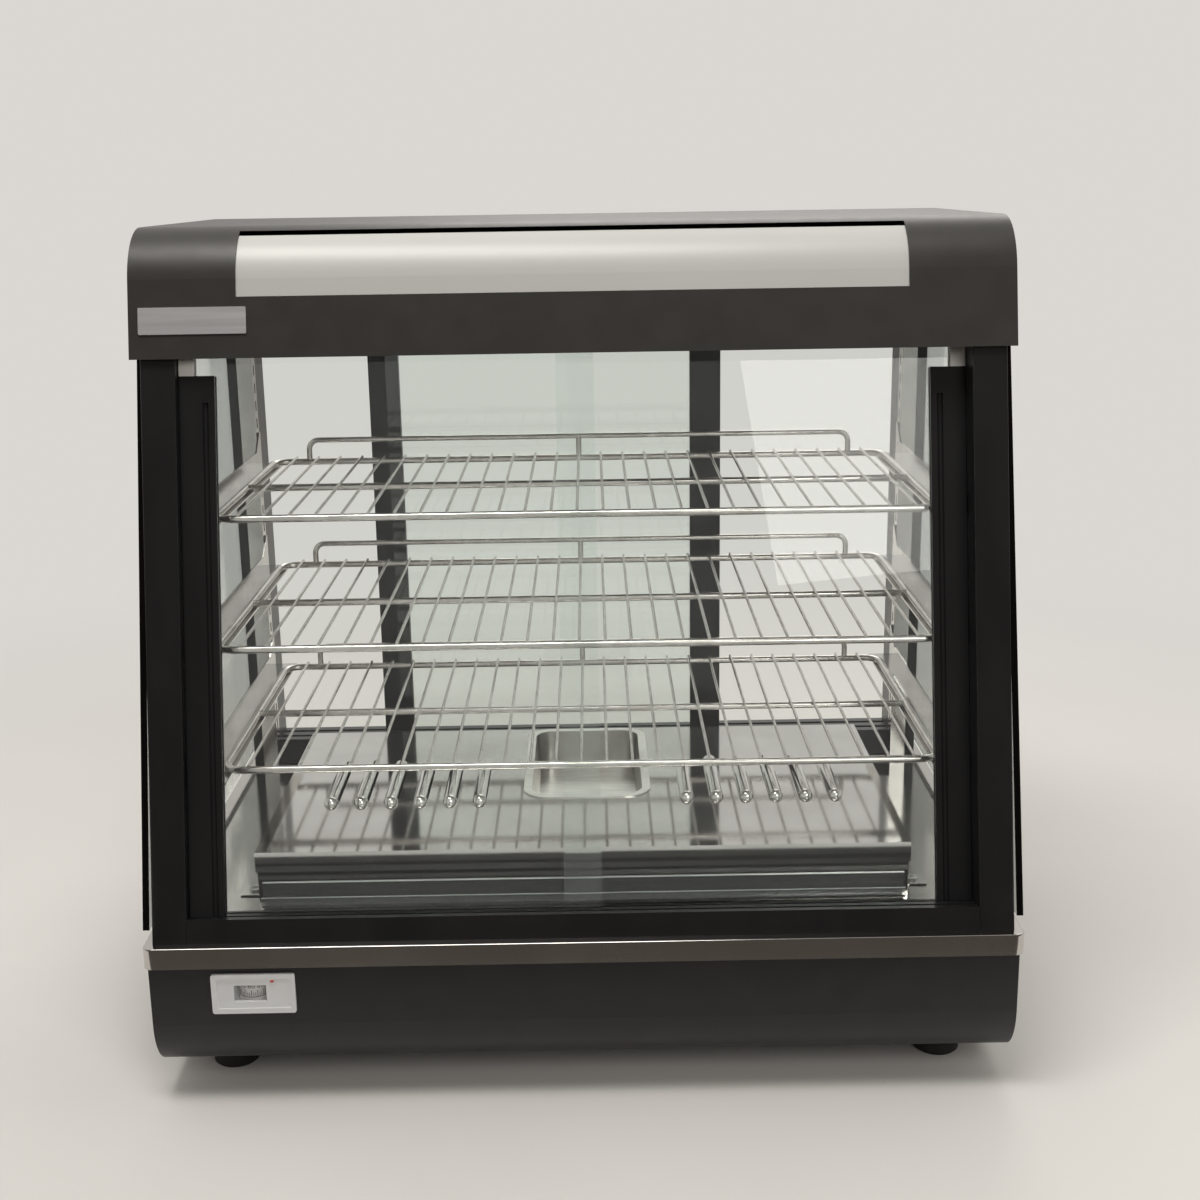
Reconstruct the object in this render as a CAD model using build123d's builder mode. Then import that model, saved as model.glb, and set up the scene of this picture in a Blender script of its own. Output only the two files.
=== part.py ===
from build123d import *
import os
from math import cos, sin, tan, radians

os.makedirs("parts", exist_ok=True)

# Heated counter-top display cabinet, millimetres, +Z up, customer side towards -Y.
# The origin lies under the middle of the cabinet, on the surface it stands on.

# Overall sizes
overall_width = 660.0
overall_depth = 450.0
overall_height = 652.0

# Sheet and glass thicknesses
steel_sheet = 1.5
bright_sheet = 1.2
side_glass_sheet = 5.0
door_glass_sheet = 4.0

# General clearances
slide_clearance = 0.3
seat_clearance = 0.2

# Base
foot_height = 22.5
foot_radius = 18.0
foot_inset_x = 48.0
foot_inset_y = 75.0
foot_screw_radius = 2.5
band_top = 132.6
band_height = 16.6
band_corner = 8.0
shell_setback = 3.5
shell_nose_radius = 46.0
service_width = 440.0
service_depth = 270.0
service_overlap = 10.0
vent_slot_length = 60.0
vent_slot_width = 5.0
vent_pitch = 16.0

# Rear control panel, set in from the rear edge so that nothing stands past it
panel_recess = 23.0
rocker_width = 13.0
rocker_height = 27.0
switch_body_depth = 24.0
switch_flange = 2.5
switch_lip = 1.6
rocker_end_clearance = 0.8
rocker_pivot = 1.0
rocker_rise = 3.0
rocker_dip = 1.2
power_switch_x = -250.0
light_switch_x = -215.0
lamp_x = -180.0
lamp_radius = 5.0
knob_x = -120.0
knob_radius = 19.0
knob_length = 17.0
shaft_radius = 3.0
thermostat_width = 44.0
thermostat_depth = 30.0
gland_x = 250.0
gland_radius = 9.0
terminal_width = 60.0

# Thermometer in the front face
gauge_x = -248.5
gauge_z = 94.4
gauge_width = 63.0
gauge_height = 32.0
gauge_frame = 4.2
gauge_proud = 2.2
gauge_depth = 26.0
gauge_window_width = 24.4
gauge_window_height = 13.4
gauge_window_x = -14.8
dial_radius = 11.0

# Mirror deck
deck_width = 512.0
deck_depth = 283.0
deck_middle_y = -11.5
deck_height = 45.6
deck_skirt = 16.5
tab_size = 20.0
tab_offset_y = 112.0
louvre_first_x = 87.0
louvre_pitch = 24.9
louvre_count = 6
louvre_length = 86.0
louvre_radius = 6.0
louvre_middle_y = -8.0
ticket_width = 503.0
ticket_height = 18.0
ticket_sheet = 1.5
ticket_lift = 2.0
ticket_shelf = 5.0
ticket_lip = 8.0

# Water pan, one ninth size
pan_length = 176.0
pan_width = 108.0
pan_depth = 33.0
pan_rim = 6.0
pan_sheet = 1.0
pan_taper = 6.0
pan_corner = 16.0
pan_middle_x = 3.2
pan_middle_y = 40.0

# Heating elements
heater_radius = 4.0
heater_bend = 16.0
heater_turn = 22.0
heater_inner_x = 105.0
heater_outer_x = 205.0
heater_lift = 20.0
heater_front_y = -115.0
heater_rear_y = 95.0
heater_tail = 22.0
heater_hole_clearance = 1.0
bracket_sheet = 1.5
bracket_margin = 12.0
bracket_rows = (-70.0, 50.0)

# Slanted front frame, measured along the slant and inwards from its face
slant_angle = 13.5
front_face_y = -217.0
frame_width = 646.0
post_width = 26.0
front_zone = 34.0
bottom_rail_height = 18.0
top_rail_rise = 22.28
frame_drop = 66.0
track_depth = 8.0
top_track_depth = 14.0
glass_groove_clearance = 0.6
front_track_depths = (12.0, 26.0)

# Upright rear frame
rear_face_y = 211.0
rear_zone = 36.0
rear_rail_height = 24.0
rear_top_rail_height = 26.0
rear_track_depths = (11.0, 25.0)

# Sliding doors
door_overlap = 29.0
handle_width = 27.0
handle_thickness = 10.0
handle_groove = 7.0
handle_top_drop = 19.0
handle_groove_end = 20.0
front_glass_rise = 8.0
rear_glass_rise = 8.0
rear_handle_width = 28.5
rear_left_shift = 100.5
rear_right_shift = 164.0
door_side_gap = 0.5
handle_cover = 4.5
guide_width = 12.0

# Side glass, whose front edge leans back a little more than the frame
side_glass_foot_y = -220.0
side_glass_foot_z = 146.0
side_glass_angle = 15.7
side_glass_rear_y = 209.0

# Slotted shelf strips
strip_width = 14.0
strip_sheet = 1.5
strip_depth = 14.0
post_wall = 2.0
slot_rows = 27.9
slot_width = 4.0
slot_height = 9.0
slots_per_shelf = 6
slots_above = 7
slots_below = 5

# Wire shelves
top_shelf_drop = 152.5
shelf_width = 566.0
top_shelf_setback = 39.26
middle_shelf_setback = 38.67
bottom_shelf_setback = 61.08
upper_shelf_rear_y = 156.0
bottom_shelf_rear_y = 148.0
wire_count = 27
wire_pitch = 20.0
thin_wire_radius = 1.2
bar_radius = 3.0
shelf_corner = 14.0
fence_width = 496.0
fence_height = 20.0
fence_wire_radius = 2.5
fence_bend = 9.0
fence_weld = 0.5

# Hooked side rails under the shelves
ledge_width = 22.0
rail_sheet = 1.5
rail_flange = 10.0
hook_plate_rise = 16.0
hook_plate_run = 22.0
rail_slot_lift = 2.0
tongue_length = 3.2
tongue_height = 6.0

# Hood
hood_height = 94.2
hood_overhang = 3.88
hood_rear_y = 217.0
hood_nose_radius = 48.0
hood_rear_radius = 16.0
light_width = 500.0
light_bottom_drop = 50.0
light_top_drop = 3.5
light_sheet = 3.0
ceiling_slot_width = 460.0
ceiling_slot_depth = 60.0
lamp_y = -35.0
lamp_drop = 40.0
lamp_tube_radius = 8.0
lamp_tube_length = 430.0
badge_width = 80.0
badge_height = 20.0
badge_sheet = 1.0
badge_x = -282.5
badge_drop = 66.8
hood_screw_radius = 4.0
hood_screw_head = 2.0
hood_screw_drop = 57.0
hood_screw_xs = (-240.0, -80.0, 80.0, 240.0)
lining_flange = 16.0
light_margin = 10.0
light_top_gap = 3.5
holder_length = 16.0
holder_grip = 8.0

# Small features of the rear controls
thermostat_edge = 4.0
shaft_length = 11.9
shaft_gap = 0.05
knob_gap = 0.6
knob_skirt_length = 6.8
knob_grip_length = knob_length - knob_skirt_length
knob_grip_inset = 3.0
knob_taper = 4.0
knob_flutes = 12
knob_flute_inset = 2.6
knob_flute_radius = 1.6
knob_bore_depth = 12.75
knob_pointer_width = 2.0
knob_pointer_length = 7.0
knob_pointer_inset = 5.0
lamp_body_depth = 16.0
lamp_dome_inset = 0.5
lamp_dome_height = 2.5
lamp_dome_taper = 25.0
gland_bore = 4.0
gland_depth = 14.0
gland_nut_margin = 4.0
gland_nut_height = 6.0
gland_inner_nut = 5.0
gland_collar_length = 10.0
gland_collar_taper = 12.0
terminal_x = 160.0
terminal_y = 100.0
terminal_height = 18.0
terminal_half_depth = 12.0
terminal_poles = 5
terminal_row_gap = 16.0
terminal_bore = 2.2
terminal_bore_depth = 8.0

# Small features of the base, the thermometer, the deck and the hood
vent_columns = 4
vent_rows = 10
foot_chamfer = 1.5
foot_screw_head = 3.0
foot_screw_nut = 4.0
gauge_sheet = 1.6
drum_recess = 3.4
drum_room = 3.0
drum_wall = 1.5
deck_hole_radius = 2.3
deck_screw_radius = 2.1
deck_screw_head_radius = 4.5
deck_screw_head = 2.2
deck_screw_dome = 1.2
screw_cross_length = 5.4
screw_cross_width = 1.0
louvre_mouth_shift = 0.75
louvre_mouth_lift = 0.25
louvre_mouth_width = 1.5
louvre_mouth_height = 0.5
louvre_mouth_margin = 4.0
glass_edge = 0.6
guide_hole_radius = 2.2
holder_edge = 3.0
badge_corner = 0.8

# How far a cut reaches past what it cuts
cut_reach = 20.0

# Values that follow from the sizes above
half_width = overall_width / 2
half_depth = overall_depth / 2
band_bottom = band_top - band_height
shell_half_width = half_width - shell_setback
shell_half_depth = half_depth - shell_setback
shell_top = band_top - bright_sheet
panel_y = half_depth - panel_recess
rear_front_y = rear_face_y - rear_zone
rocker_radius = rocker_height / 2 - rocker_end_clearance
rocker_pocket = rocker_radius + rocker_end_clearance
foot_spacing_x = 2 * (half_width - foot_inset_x)
foot_spacing_y = 2 * (half_depth - foot_inset_y)
deck_top = band_top + deck_height
slope = tan(radians(slant_angle))
slant_cos = cos(radians(slant_angle))
slant_sin = sin(radians(slant_angle))
post_inner_x = frame_width / 2 - post_width
frame_top = overall_height - frame_drop
top_rail_start = (frame_top - band_top) / slant_cos - top_rail_rise
handle_top = top_rail_start - handle_top_drop
front_glass_top = top_rail_start + front_glass_rise
slot_pitch = (frame_top - band_top) / slot_rows
top_shelf_height = frame_top - top_shelf_drop
hood_bottom = overall_height - hood_height
hood_front_y = front_face_y + (hood_bottom - band_top) * slope - hood_overhang
light_bottom = overall_height - light_bottom_drop
light_top = overall_height - light_top_drop
lamp_z = overall_height - lamp_drop
badge_z = overall_height - badge_drop
hood_screw_z = overall_height - hood_screw_drop
glass_outer_x = frame_width / 2 + side_glass_sheet
shelf_spacing = slots_per_shelf * slot_pitch


def slant_point(inward, up):
    """Y and Z of a point given inwards from the slanted face and up along it."""
    y = front_face_y + inward * slant_cos + up * slant_sin
    z = band_top - inward * slant_sin + up * slant_cos
    return y, z


def slant_plane(x):
    """Section plane across the slanted front: local X runs inwards, local Y up the slant."""
    return Plane(origin=(x, front_face_y, band_top), x_dir=(0, slant_cos, -slant_sin), z_dir=(1, 0, 0))


def section_plane(x):
    """Section plane across the cabinet: local X runs to the rear, local Y up."""
    return Plane(origin=(x, 0, 0), x_dir=(0, 1, 0), z_dir=(1, 0, 0))


def upright_box(x0, x1, y0, y1, z0, z1, mode=Mode.ADD):
    """Add a box to the part being built, given by its limits."""
    with Locations(((x0 + x1) / 2, (y0 + y1) / 2, (z0 + z1) / 2)):
        Box(x1 - x0, y1 - y0, z1 - z0, mode=mode)


# Base shell: folded sheet with a round lower front edge, open at the top and the rear
shell_points = [
    (-shell_half_depth, shell_top),
    (-shell_half_depth, foot_height),
    (shell_half_depth, foot_height),
    (shell_half_depth, shell_top),
]
with BuildPart() as base_shell:
    with BuildSketch(section_plane(-shell_half_width)) as shell_side:
        with BuildLine():
            Polyline(*shell_points, close=True)
        make_face()
        fillet(shell_side.vertices().group_by(Axis.Y)[0].sort_by(Axis.X)[0], shell_nose_radius)
    extrude(amount=2 * shell_half_width)
    with BuildSketch(section_plane(-shell_half_width + steel_sheet)) as shell_hollow:
        with BuildLine():
            Polyline(
                (-shell_half_depth + steel_sheet, shell_top + 1),
                (-shell_half_depth + steel_sheet, foot_height + steel_sheet),
                (shell_half_depth + 1, foot_height + steel_sheet),
                (shell_half_depth + 1, shell_top + 1),
                close=True,
            )
        make_face()
        fillet(shell_hollow.vertices().group_by(Axis.Y)[0].sort_by(Axis.X)[0], shell_nose_radius - steel_sheet)
    extrude(amount=2 * (shell_half_width - steel_sheet), mode=Mode.SUBTRACT)
    # Service opening in the underside
    upright_box(-service_width / 2, service_width / 2, -service_depth / 2, service_depth / 2,
                foot_height - 1, foot_height + steel_sheet + 1, Mode.SUBTRACT)
    # Opening for the thermometer in the front
    with Locations((gauge_x, -shell_half_depth, gauge_z)):
        Box(gauge_width - 2 * gauge_frame + 2 * seat_clearance, 4 * steel_sheet,
            gauge_height - 2 * gauge_frame + 2 * seat_clearance, mode=Mode.SUBTRACT)
    # Screw holes for the feet
    with Locations(Plane.XY.offset(foot_height)):
        with GridLocations(foot_spacing_x, foot_spacing_y, 2, 2):
            Cylinder(foot_screw_radius + seat_clearance, 4 * steel_sheet, mode=Mode.SUBTRACT)
base_shell.part.label = "base_shell"
export_step(base_shell.part, "parts/base_shell.step")

# Bottom plate: vented cover that lies inside over the service opening
with BuildPart() as bottom_plate:
    with BuildSketch(Plane.XY.offset(foot_height + steel_sheet)):
        Rectangle(service_width + 2 * service_overlap, service_depth + 2 * service_overlap)
        with GridLocations(vent_slot_length + vent_pitch, vent_pitch, vent_columns, vent_rows):
            SlotOverall(vent_slot_length, vent_slot_width, mode=Mode.SUBTRACT)
    extrude(amount=steel_sheet)
bottom_plate.part.label = "bottom_plate"
export_step(bottom_plate.part, "parts/bottom_plate.step")

# Feet: four rubber feet with a recess for the screw head
foot_recess_radius = foot_screw_radius * 2 + 1
foot_recess_depth = foot_height / 2
with BuildPart() as feet:
    with BuildSketch():
        with GridLocations(foot_spacing_x, foot_spacing_y, 2, 2):
            Circle(foot_radius)
            Circle(foot_recess_radius, mode=Mode.SUBTRACT)
    extrude(amount=foot_recess_depth)
    with BuildSketch(Plane.XY.offset(foot_recess_depth)):
        with GridLocations(foot_spacing_x, foot_spacing_y, 2, 2):
            Circle(foot_radius)
            Circle(foot_screw_radius + seat_clearance, mode=Mode.SUBTRACT)
    extrude(amount=foot_height - foot_recess_depth)
    foot_rims = feet.edges().filter_by(GeomType.CIRCLE).group_by(Axis.Z)[0]
    chamfer(foot_rims.filter_by(lambda edge: edge.radius == foot_radius), foot_chamfer)
feet.part.label = "feet"
export_step(feet.part, "parts/feet.step")

# Foot screws: pan heads up inside the feet, with a nut above the sheet
screw_top = foot_height + steel_sheet + 5
with BuildPart() as foot_screws:
    with BuildSketch(Plane.XY.offset(foot_recess_depth - foot_screw_head)):
        with GridLocations(foot_spacing_x, foot_spacing_y, 2, 2):
            Circle(foot_screw_radius * 2)
    extrude(amount=foot_screw_head)
    with BuildSketch(Plane.XY.offset(foot_recess_depth)):
        with GridLocations(foot_spacing_x, foot_spacing_y, 2, 2):
            Circle(foot_screw_radius)
    extrude(amount=screw_top - foot_recess_depth)
    with BuildSketch(Plane.XY.offset(foot_height + steel_sheet)):
        with GridLocations(foot_spacing_x, foot_spacing_y, 2, 2):
            RegularPolygon(foot_screw_radius * 2, 6)
    extrude(amount=foot_screw_nut)
foot_screws.part.label = "foot_screws"
export_step(foot_screws.part, "parts/foot_screws.step")

# Control panel across the rear of the base, set in between the cheeks
switch_z = (foot_height + shell_top) / 2
panel_bottom = foot_height + steel_sheet
with BuildPart() as control_panel:
    upright_box(-shell_half_width + steel_sheet, shell_half_width - steel_sheet,
                panel_y - steel_sheet, panel_y, panel_bottom, shell_top)
    with Locations((power_switch_x, panel_y, switch_z), (light_switch_x, panel_y, switch_z)):
        Box(rocker_width + 2 * switch_lip + 2 * seat_clearance, 4 * steel_sheet,
            rocker_height + 2 * switch_lip + 2 * seat_clearance, mode=Mode.SUBTRACT)
    with Locations(Plane((0, panel_y, switch_z), x_dir=(1, 0, 0), z_dir=(0, 1, 0))):
        with Locations((lamp_x, 0)):
            Cylinder(lamp_radius + seat_clearance, 4 * steel_sheet, mode=Mode.SUBTRACT)
        with Locations((knob_x, 0)):
            Cylinder(shaft_radius * 2, 4 * steel_sheet, mode=Mode.SUBTRACT)
        with Locations((gland_x, 0)):
            Cylinder(gland_radius + seat_clearance, 4 * steel_sheet, mode=Mode.SUBTRACT)
control_panel.part.label = "control_panel"
export_step(control_panel.part, "parts/control_panel.step")


def panel_plane(inward=0.0):
    """Plane on the control panel's outer face, facing the rear, moved inwards by the given depth."""
    return Plane(origin=(0, panel_y - inward, switch_z), x_dir=(-1, 0, 0), z_dir=(0, 1, 0))


def switch_body(switch_x):
    """Rocker switch housing: a flanged box with an open pocket for the rocker."""
    lip_width = rocker_width + 2 * switch_lip
    lip_height = rocker_height + 2 * switch_lip
    with BuildPart() as body:
        with BuildSketch(panel_plane(switch_body_depth)):
            with Locations((-switch_x, 0)):
                Rectangle(lip_width, lip_height)
        extrude(amount=switch_body_depth)
        with BuildSketch(panel_plane()):
            with Locations((-switch_x, 0)):
                RectangleRounded(lip_width + 2 * switch_lip, lip_height + 2 * switch_lip, switch_lip)
        extrude(amount=switch_flange)
        with BuildSketch(panel_plane(rocker_pocket)):
            with Locations((-switch_x, 0)):
                Rectangle(rocker_width, rocker_height)
        extrude(amount=rocker_pocket + switch_flange, mode=Mode.SUBTRACT)
    return body


def rocker(switch_x):
    """Rocker paddle: a shallow V face outside, and a half-round belly that rolls about the pivot."""
    paddle_width = rocker_width - 2 * slide_clearance
    origin = (switch_x - paddle_width / 2, panel_y + rocker_pivot, switch_z)
    with BuildPart() as paddle:
        with BuildSketch(Plane(origin=origin, x_dir=(0, 1, 0), z_dir=(1, 0, 0))):
            with BuildLine():
                RadiusArc((0, -rocker_radius), (0, rocker_radius), rocker_radius)
                Polyline(
                    (0, rocker_radius),
                    (rocker_rise, rocker_radius),
                    (rocker_dip, 0),
                    (rocker_rise, -rocker_radius),
                    (0, -rocker_radius),
                )
            make_face()
        extrude(amount=paddle_width)
    return paddle


# Rocker switches for the heat and for the light
power_switch_body = switch_body(power_switch_x)
power_switch_body.part.label = "power_switch_body"
export_step(power_switch_body.part, "parts/power_switch_body.step")
light_switch_body = switch_body(light_switch_x)
light_switch_body.part.label = "light_switch_body"
export_step(light_switch_body.part, "parts/light_switch_body.step")
power_rocker = rocker(power_switch_x)
power_rocker.part.label = "power_rocker"
export_step(power_rocker.part, "parts/power_rocker.step")
light_rocker = rocker(light_switch_x)
light_rocker.part.label = "light_rocker"
export_step(light_rocker.part, "parts/light_rocker.step")

# Thermostat: body behind the panel with its shaft through it, and the knob outside
with BuildPart() as thermostat_body:
    upright_box(knob_x - thermostat_width / 2, knob_x + thermostat_width / 2,
                panel_y - steel_sheet - thermostat_depth, panel_y - steel_sheet,
                switch_z - thermostat_width / 2, switch_z + thermostat_width / 2)
    fillet(thermostat_body.edges().filter_by(Axis.Y), thermostat_edge)
    with BuildSketch(panel_plane(steel_sheet)):
        with Locations((-knob_x, 0)):
            Circle(shaft_radius)
    extrude(amount=steel_sheet + shaft_length)
thermostat_body.part.label = "thermostat_body"
export_step(thermostat_body.part, "parts/thermostat_body.step")

with BuildPart() as thermostat_knob:
    with BuildSketch(panel_plane(-knob_gap)):
        with Locations((-knob_x, 0)):
            Circle(knob_radius)
    extrude(amount=knob_skirt_length)
    with BuildSketch(panel_plane(-knob_gap - knob_skirt_length)):
        with Locations((-knob_x, 0)):
            Circle(knob_radius - knob_grip_inset)
    extrude(amount=knob_grip_length, taper=knob_taper)
    # Grip flutes and the shaft bore
    with BuildSketch(panel_plane(-knob_gap - knob_skirt_length)):
        with Locations((-knob_x, 0)):
            with PolarLocations(knob_radius - knob_flute_inset, knob_flutes):
                Circle(knob_flute_radius)
    extrude(amount=knob_length, mode=Mode.SUBTRACT)
    with BuildSketch(panel_plane(-knob_gap)):
        with Locations((-knob_x, 0)):
            Circle(shaft_radius + shaft_gap)
    extrude(amount=knob_bore_depth, mode=Mode.SUBTRACT)
    # Pointer ridge
    with BuildSketch(panel_plane(-knob_gap)):
        with Locations((-knob_x, knob_radius - knob_pointer_inset)):
            Rectangle(knob_pointer_width, knob_pointer_length)
    extrude(amount=knob_length + knob_gap)
thermostat_knob.part.label = "thermostat_knob"
export_step(thermostat_knob.part, "parts/thermostat_knob.step")

# Pilot lamp: bezel and body in one moulding
with BuildPart() as pilot_lamp:
    with BuildSketch(panel_plane(lamp_body_depth)):
        with Locations((-lamp_x, 0)):
            Circle(lamp_radius)
    extrude(amount=lamp_body_depth)
    with BuildSketch(panel_plane()):
        with Locations((-lamp_x, 0)):
            Circle(lamp_radius + 2)
    extrude(amount=2)
    with BuildSketch(panel_plane(-2)):
        with Locations((-lamp_x, 0)):
            Circle(lamp_radius - lamp_dome_inset)
    extrude(amount=lamp_dome_height, taper=lamp_dome_taper)
pilot_lamp.part.label = "pilot_lamp"
export_step(pilot_lamp.part, "parts/pilot_lamp.step")

# Cable gland: hexagon outside, locknut inside, with the bore for the lead
with BuildPart() as cable_gland:
    with BuildSketch(panel_plane(gland_depth)):
        with Locations((-gland_x, 0)):
            Circle(gland_radius)
    extrude(amount=gland_depth)
    with BuildSketch(panel_plane()):
        with Locations((-gland_x, 0)):
            RegularPolygon(gland_radius + gland_nut_margin, 6)
    extrude(amount=gland_nut_height)
    with BuildSketch(panel_plane(-gland_nut_height)):
        with Locations((-gland_x, 0)):
            Circle(gland_radius + 1)
    extrude(amount=gland_collar_length, taper=gland_collar_taper)
    with BuildSketch(panel_plane(steel_sheet + gland_inner_nut)):
        with Locations((-gland_x, 0)):
            RegularPolygon(gland_radius + gland_nut_margin, 6)
    extrude(amount=gland_inner_nut)
    with BuildSketch(panel_plane(cut_reach)):
        with Locations((-gland_x, 0)):
            Circle(gland_bore)
    extrude(amount=3 * cut_reach, mode=Mode.SUBTRACT)
cable_gland.part.label = "cable_gland"
export_step(cable_gland.part, "parts/cable_gland.step")

# Terminal block on the bottom plate, near the gland
terminal_floor = foot_height + 2 * steel_sheet
with BuildPart() as terminal_block:
    upright_box(terminal_x - terminal_width / 2, terminal_x + terminal_width / 2, terminal_y - terminal_half_depth,
                terminal_y + terminal_half_depth, terminal_floor, terminal_floor + terminal_height)
    with Locations((terminal_x, terminal_y, terminal_floor + terminal_height)):
        with GridLocations(terminal_width / terminal_poles, terminal_row_gap, terminal_poles, 2):
            Hole(terminal_bore, depth=terminal_bore_depth)
terminal_block.part.label = "terminal_block"
export_step(terminal_block.part, "parts/terminal_block.step")


def gauge_plane(outward=0.0):
    """Plane on the front face of the base, facing the customer."""
    return Plane(origin=(gauge_x, -shell_half_depth - outward, gauge_z), x_dir=(1, 0, 0), z_dir=(0, -1, 0))


# Thermometer: white case with a bezel, a number drum behind a clear window
drum_y = -shell_half_depth + drum_recess + dial_radius
case_inner_width = gauge_width - 2 * gauge_frame
case_inner_height = gauge_height - 2 * gauge_frame
with BuildPart() as thermometer_case:
    with BuildSketch(gauge_plane()):
        RectangleRounded(gauge_width, gauge_height, 2)
    extrude(amount=gauge_proud)
    with BuildSketch(gauge_plane(-gauge_depth)):
        Rectangle(case_inner_width, case_inner_height)
    extrude(amount=gauge_depth)
    # Recessed face inside the bezel
    with BuildSketch(gauge_plane(gauge_proud - 1)):
        RectangleRounded(case_inner_width, case_inner_height, 1)
    extrude(amount=1, mode=Mode.SUBTRACT)
    # Window opening, and the pocket in which the drum turns
    with BuildSketch(gauge_plane(-gauge_sheet)):
        with Locations((gauge_window_x + gauge_window_width / 2, 0)):
            Rectangle(gauge_window_width, gauge_window_height)
    extrude(amount=gauge_sheet + gauge_proud, mode=Mode.SUBTRACT)
    with BuildSketch(gauge_plane(-gauge_depth)):
        with Locations((gauge_window_x + gauge_window_width / 2, 0)):
            Rectangle(2 * dial_radius + drum_room, case_inner_height - 2 * gauge_sheet)
    extrude(amount=gauge_depth - gauge_sheet, mode=Mode.SUBTRACT)
thermometer_case.part.label = "thermometer_case"
export_step(thermometer_case.part, "parts/thermometer_case.step")

window_x = gauge_x + gauge_window_x + gauge_window_width / 2
with BuildPart() as thermometer_window:
    with BuildSketch(gauge_plane(-gauge_sheet)):
        with Locations((gauge_window_x + gauge_window_width / 2, 0)):
            Rectangle(gauge_window_width, gauge_window_height)
    extrude(amount=1)
thermometer_window.part.label = "thermometer_window"
export_step(thermometer_window.part, "parts/thermometer_window.step")

dial_height = case_inner_height - 2 * gauge_sheet - 0.6
with BuildPart() as thermometer_dial:
    with Locations((window_x, drum_y, gauge_z)):
        Cylinder(dial_radius, dial_height)
        Cylinder(dial_radius - drum_wall, dial_height, mode=Mode.SUBTRACT)
        with Locations((0, 0, -dial_height / 2 + 0.75)):
            Cylinder(dial_radius - 1, drum_wall)
        Cylinder(2, dial_height)
thermometer_dial.part.label = "thermometer_dial"
export_step(thermometer_dial.part, "parts/thermometer_dial.step")

# Trim plate: bright sheet with a turned-down rim that steps out past the base
heater_xs = (-heater_outer_x, -heater_inner_x, heater_inner_x, heater_outer_x)
with BuildPart() as trim_plate:
    with BuildSketch(Plane.XY.offset(band_bottom)):
        RectangleRounded(overall_width, overall_depth, band_corner)
    extrude(amount=band_height)
    fillet(trim_plate.faces().sort_by(Axis.Z)[-1].edges(), bright_sheet)
    with BuildSketch(Plane.XY.offset(band_bottom)):
        RectangleRounded(overall_width - 2 * bright_sheet, overall_depth - 2 * bright_sheet,
                         band_corner - bright_sheet)
    extrude(amount=band_height - bright_sheet, mode=Mode.SUBTRACT)
    with Locations(*[(x, heater_rear_y, band_top) for x in heater_xs]):
        Cylinder(heater_radius + heater_hole_clearance, 4 * bright_sheet, mode=Mode.SUBTRACT)
trim_plate.part.label = "trim_plate"
export_step(trim_plate.part, "parts/trim_plate.step")

# Deck base: four walls on the plate, with floor tabs for the screws
wall_width = deck_width - 2 * bright_sheet - 2 * seat_clearance
wall_depth = deck_depth - 2 * bright_sheet - 2 * seat_clearance
tab_x = wall_width / 2 + tab_size / 2 - bright_sheet
deck_front_y = deck_middle_y - deck_depth / 2
deck_wall_y = deck_middle_y - wall_depth / 2
with BuildPart() as deck_base:
    with BuildSketch(Plane.XY.offset(band_top)):
        with Locations((0, deck_middle_y)):
            Rectangle(wall_width, wall_depth)
            Rectangle(wall_width - 2 * bright_sheet, wall_depth - 2 * bright_sheet, mode=Mode.SUBTRACT)
    extrude(amount=deck_height - bright_sheet)
    with BuildSketch(Plane.XY.offset(band_top)):
        with Locations((0, deck_middle_y)):
            with GridLocations(2 * tab_x, 2 * tab_offset_y, 2, 2):
                Rectangle(tab_size, tab_size)
                Circle(deck_hole_radius, mode=Mode.SUBTRACT)
    extrude(amount=bright_sheet)
deck_base.part.label = "deck_base"
export_step(deck_base.part, "parts/deck_base.step")

with BuildPart() as deck_screws:
    with BuildSketch(Plane.XY.offset(band_top + bright_sheet)):
        with Locations((0, deck_middle_y)):
            with GridLocations(2 * tab_x, 2 * tab_offset_y, 2, 2):
                Circle(deck_screw_head_radius)
    extrude(amount=deck_screw_head)
    fillet(deck_screws.edges().group_by(Axis.Z)[-1], deck_screw_dome)
    with BuildSketch(Plane.XY.offset(band_top)):
        with Locations((0, deck_middle_y)):
            with GridLocations(2 * tab_x, 2 * tab_offset_y, 2, 2):
                Circle(deck_screw_radius)
    extrude(amount=bright_sheet)
    with BuildSketch(Plane.XY.offset(band_top + bright_sheet + deck_screw_dome)):
        with Locations((0, deck_middle_y)):
            with GridLocations(2 * tab_x, 2 * tab_offset_y, 2, 2):
                Rectangle(screw_cross_length, screw_cross_width)
                Rectangle(screw_cross_width, screw_cross_length)
    extrude(amount=deck_screw_dome, mode=Mode.SUBTRACT)
deck_screws.part.label = "deck_screws"
export_step(deck_screws.part, "parts/deck_screws.step")

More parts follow.
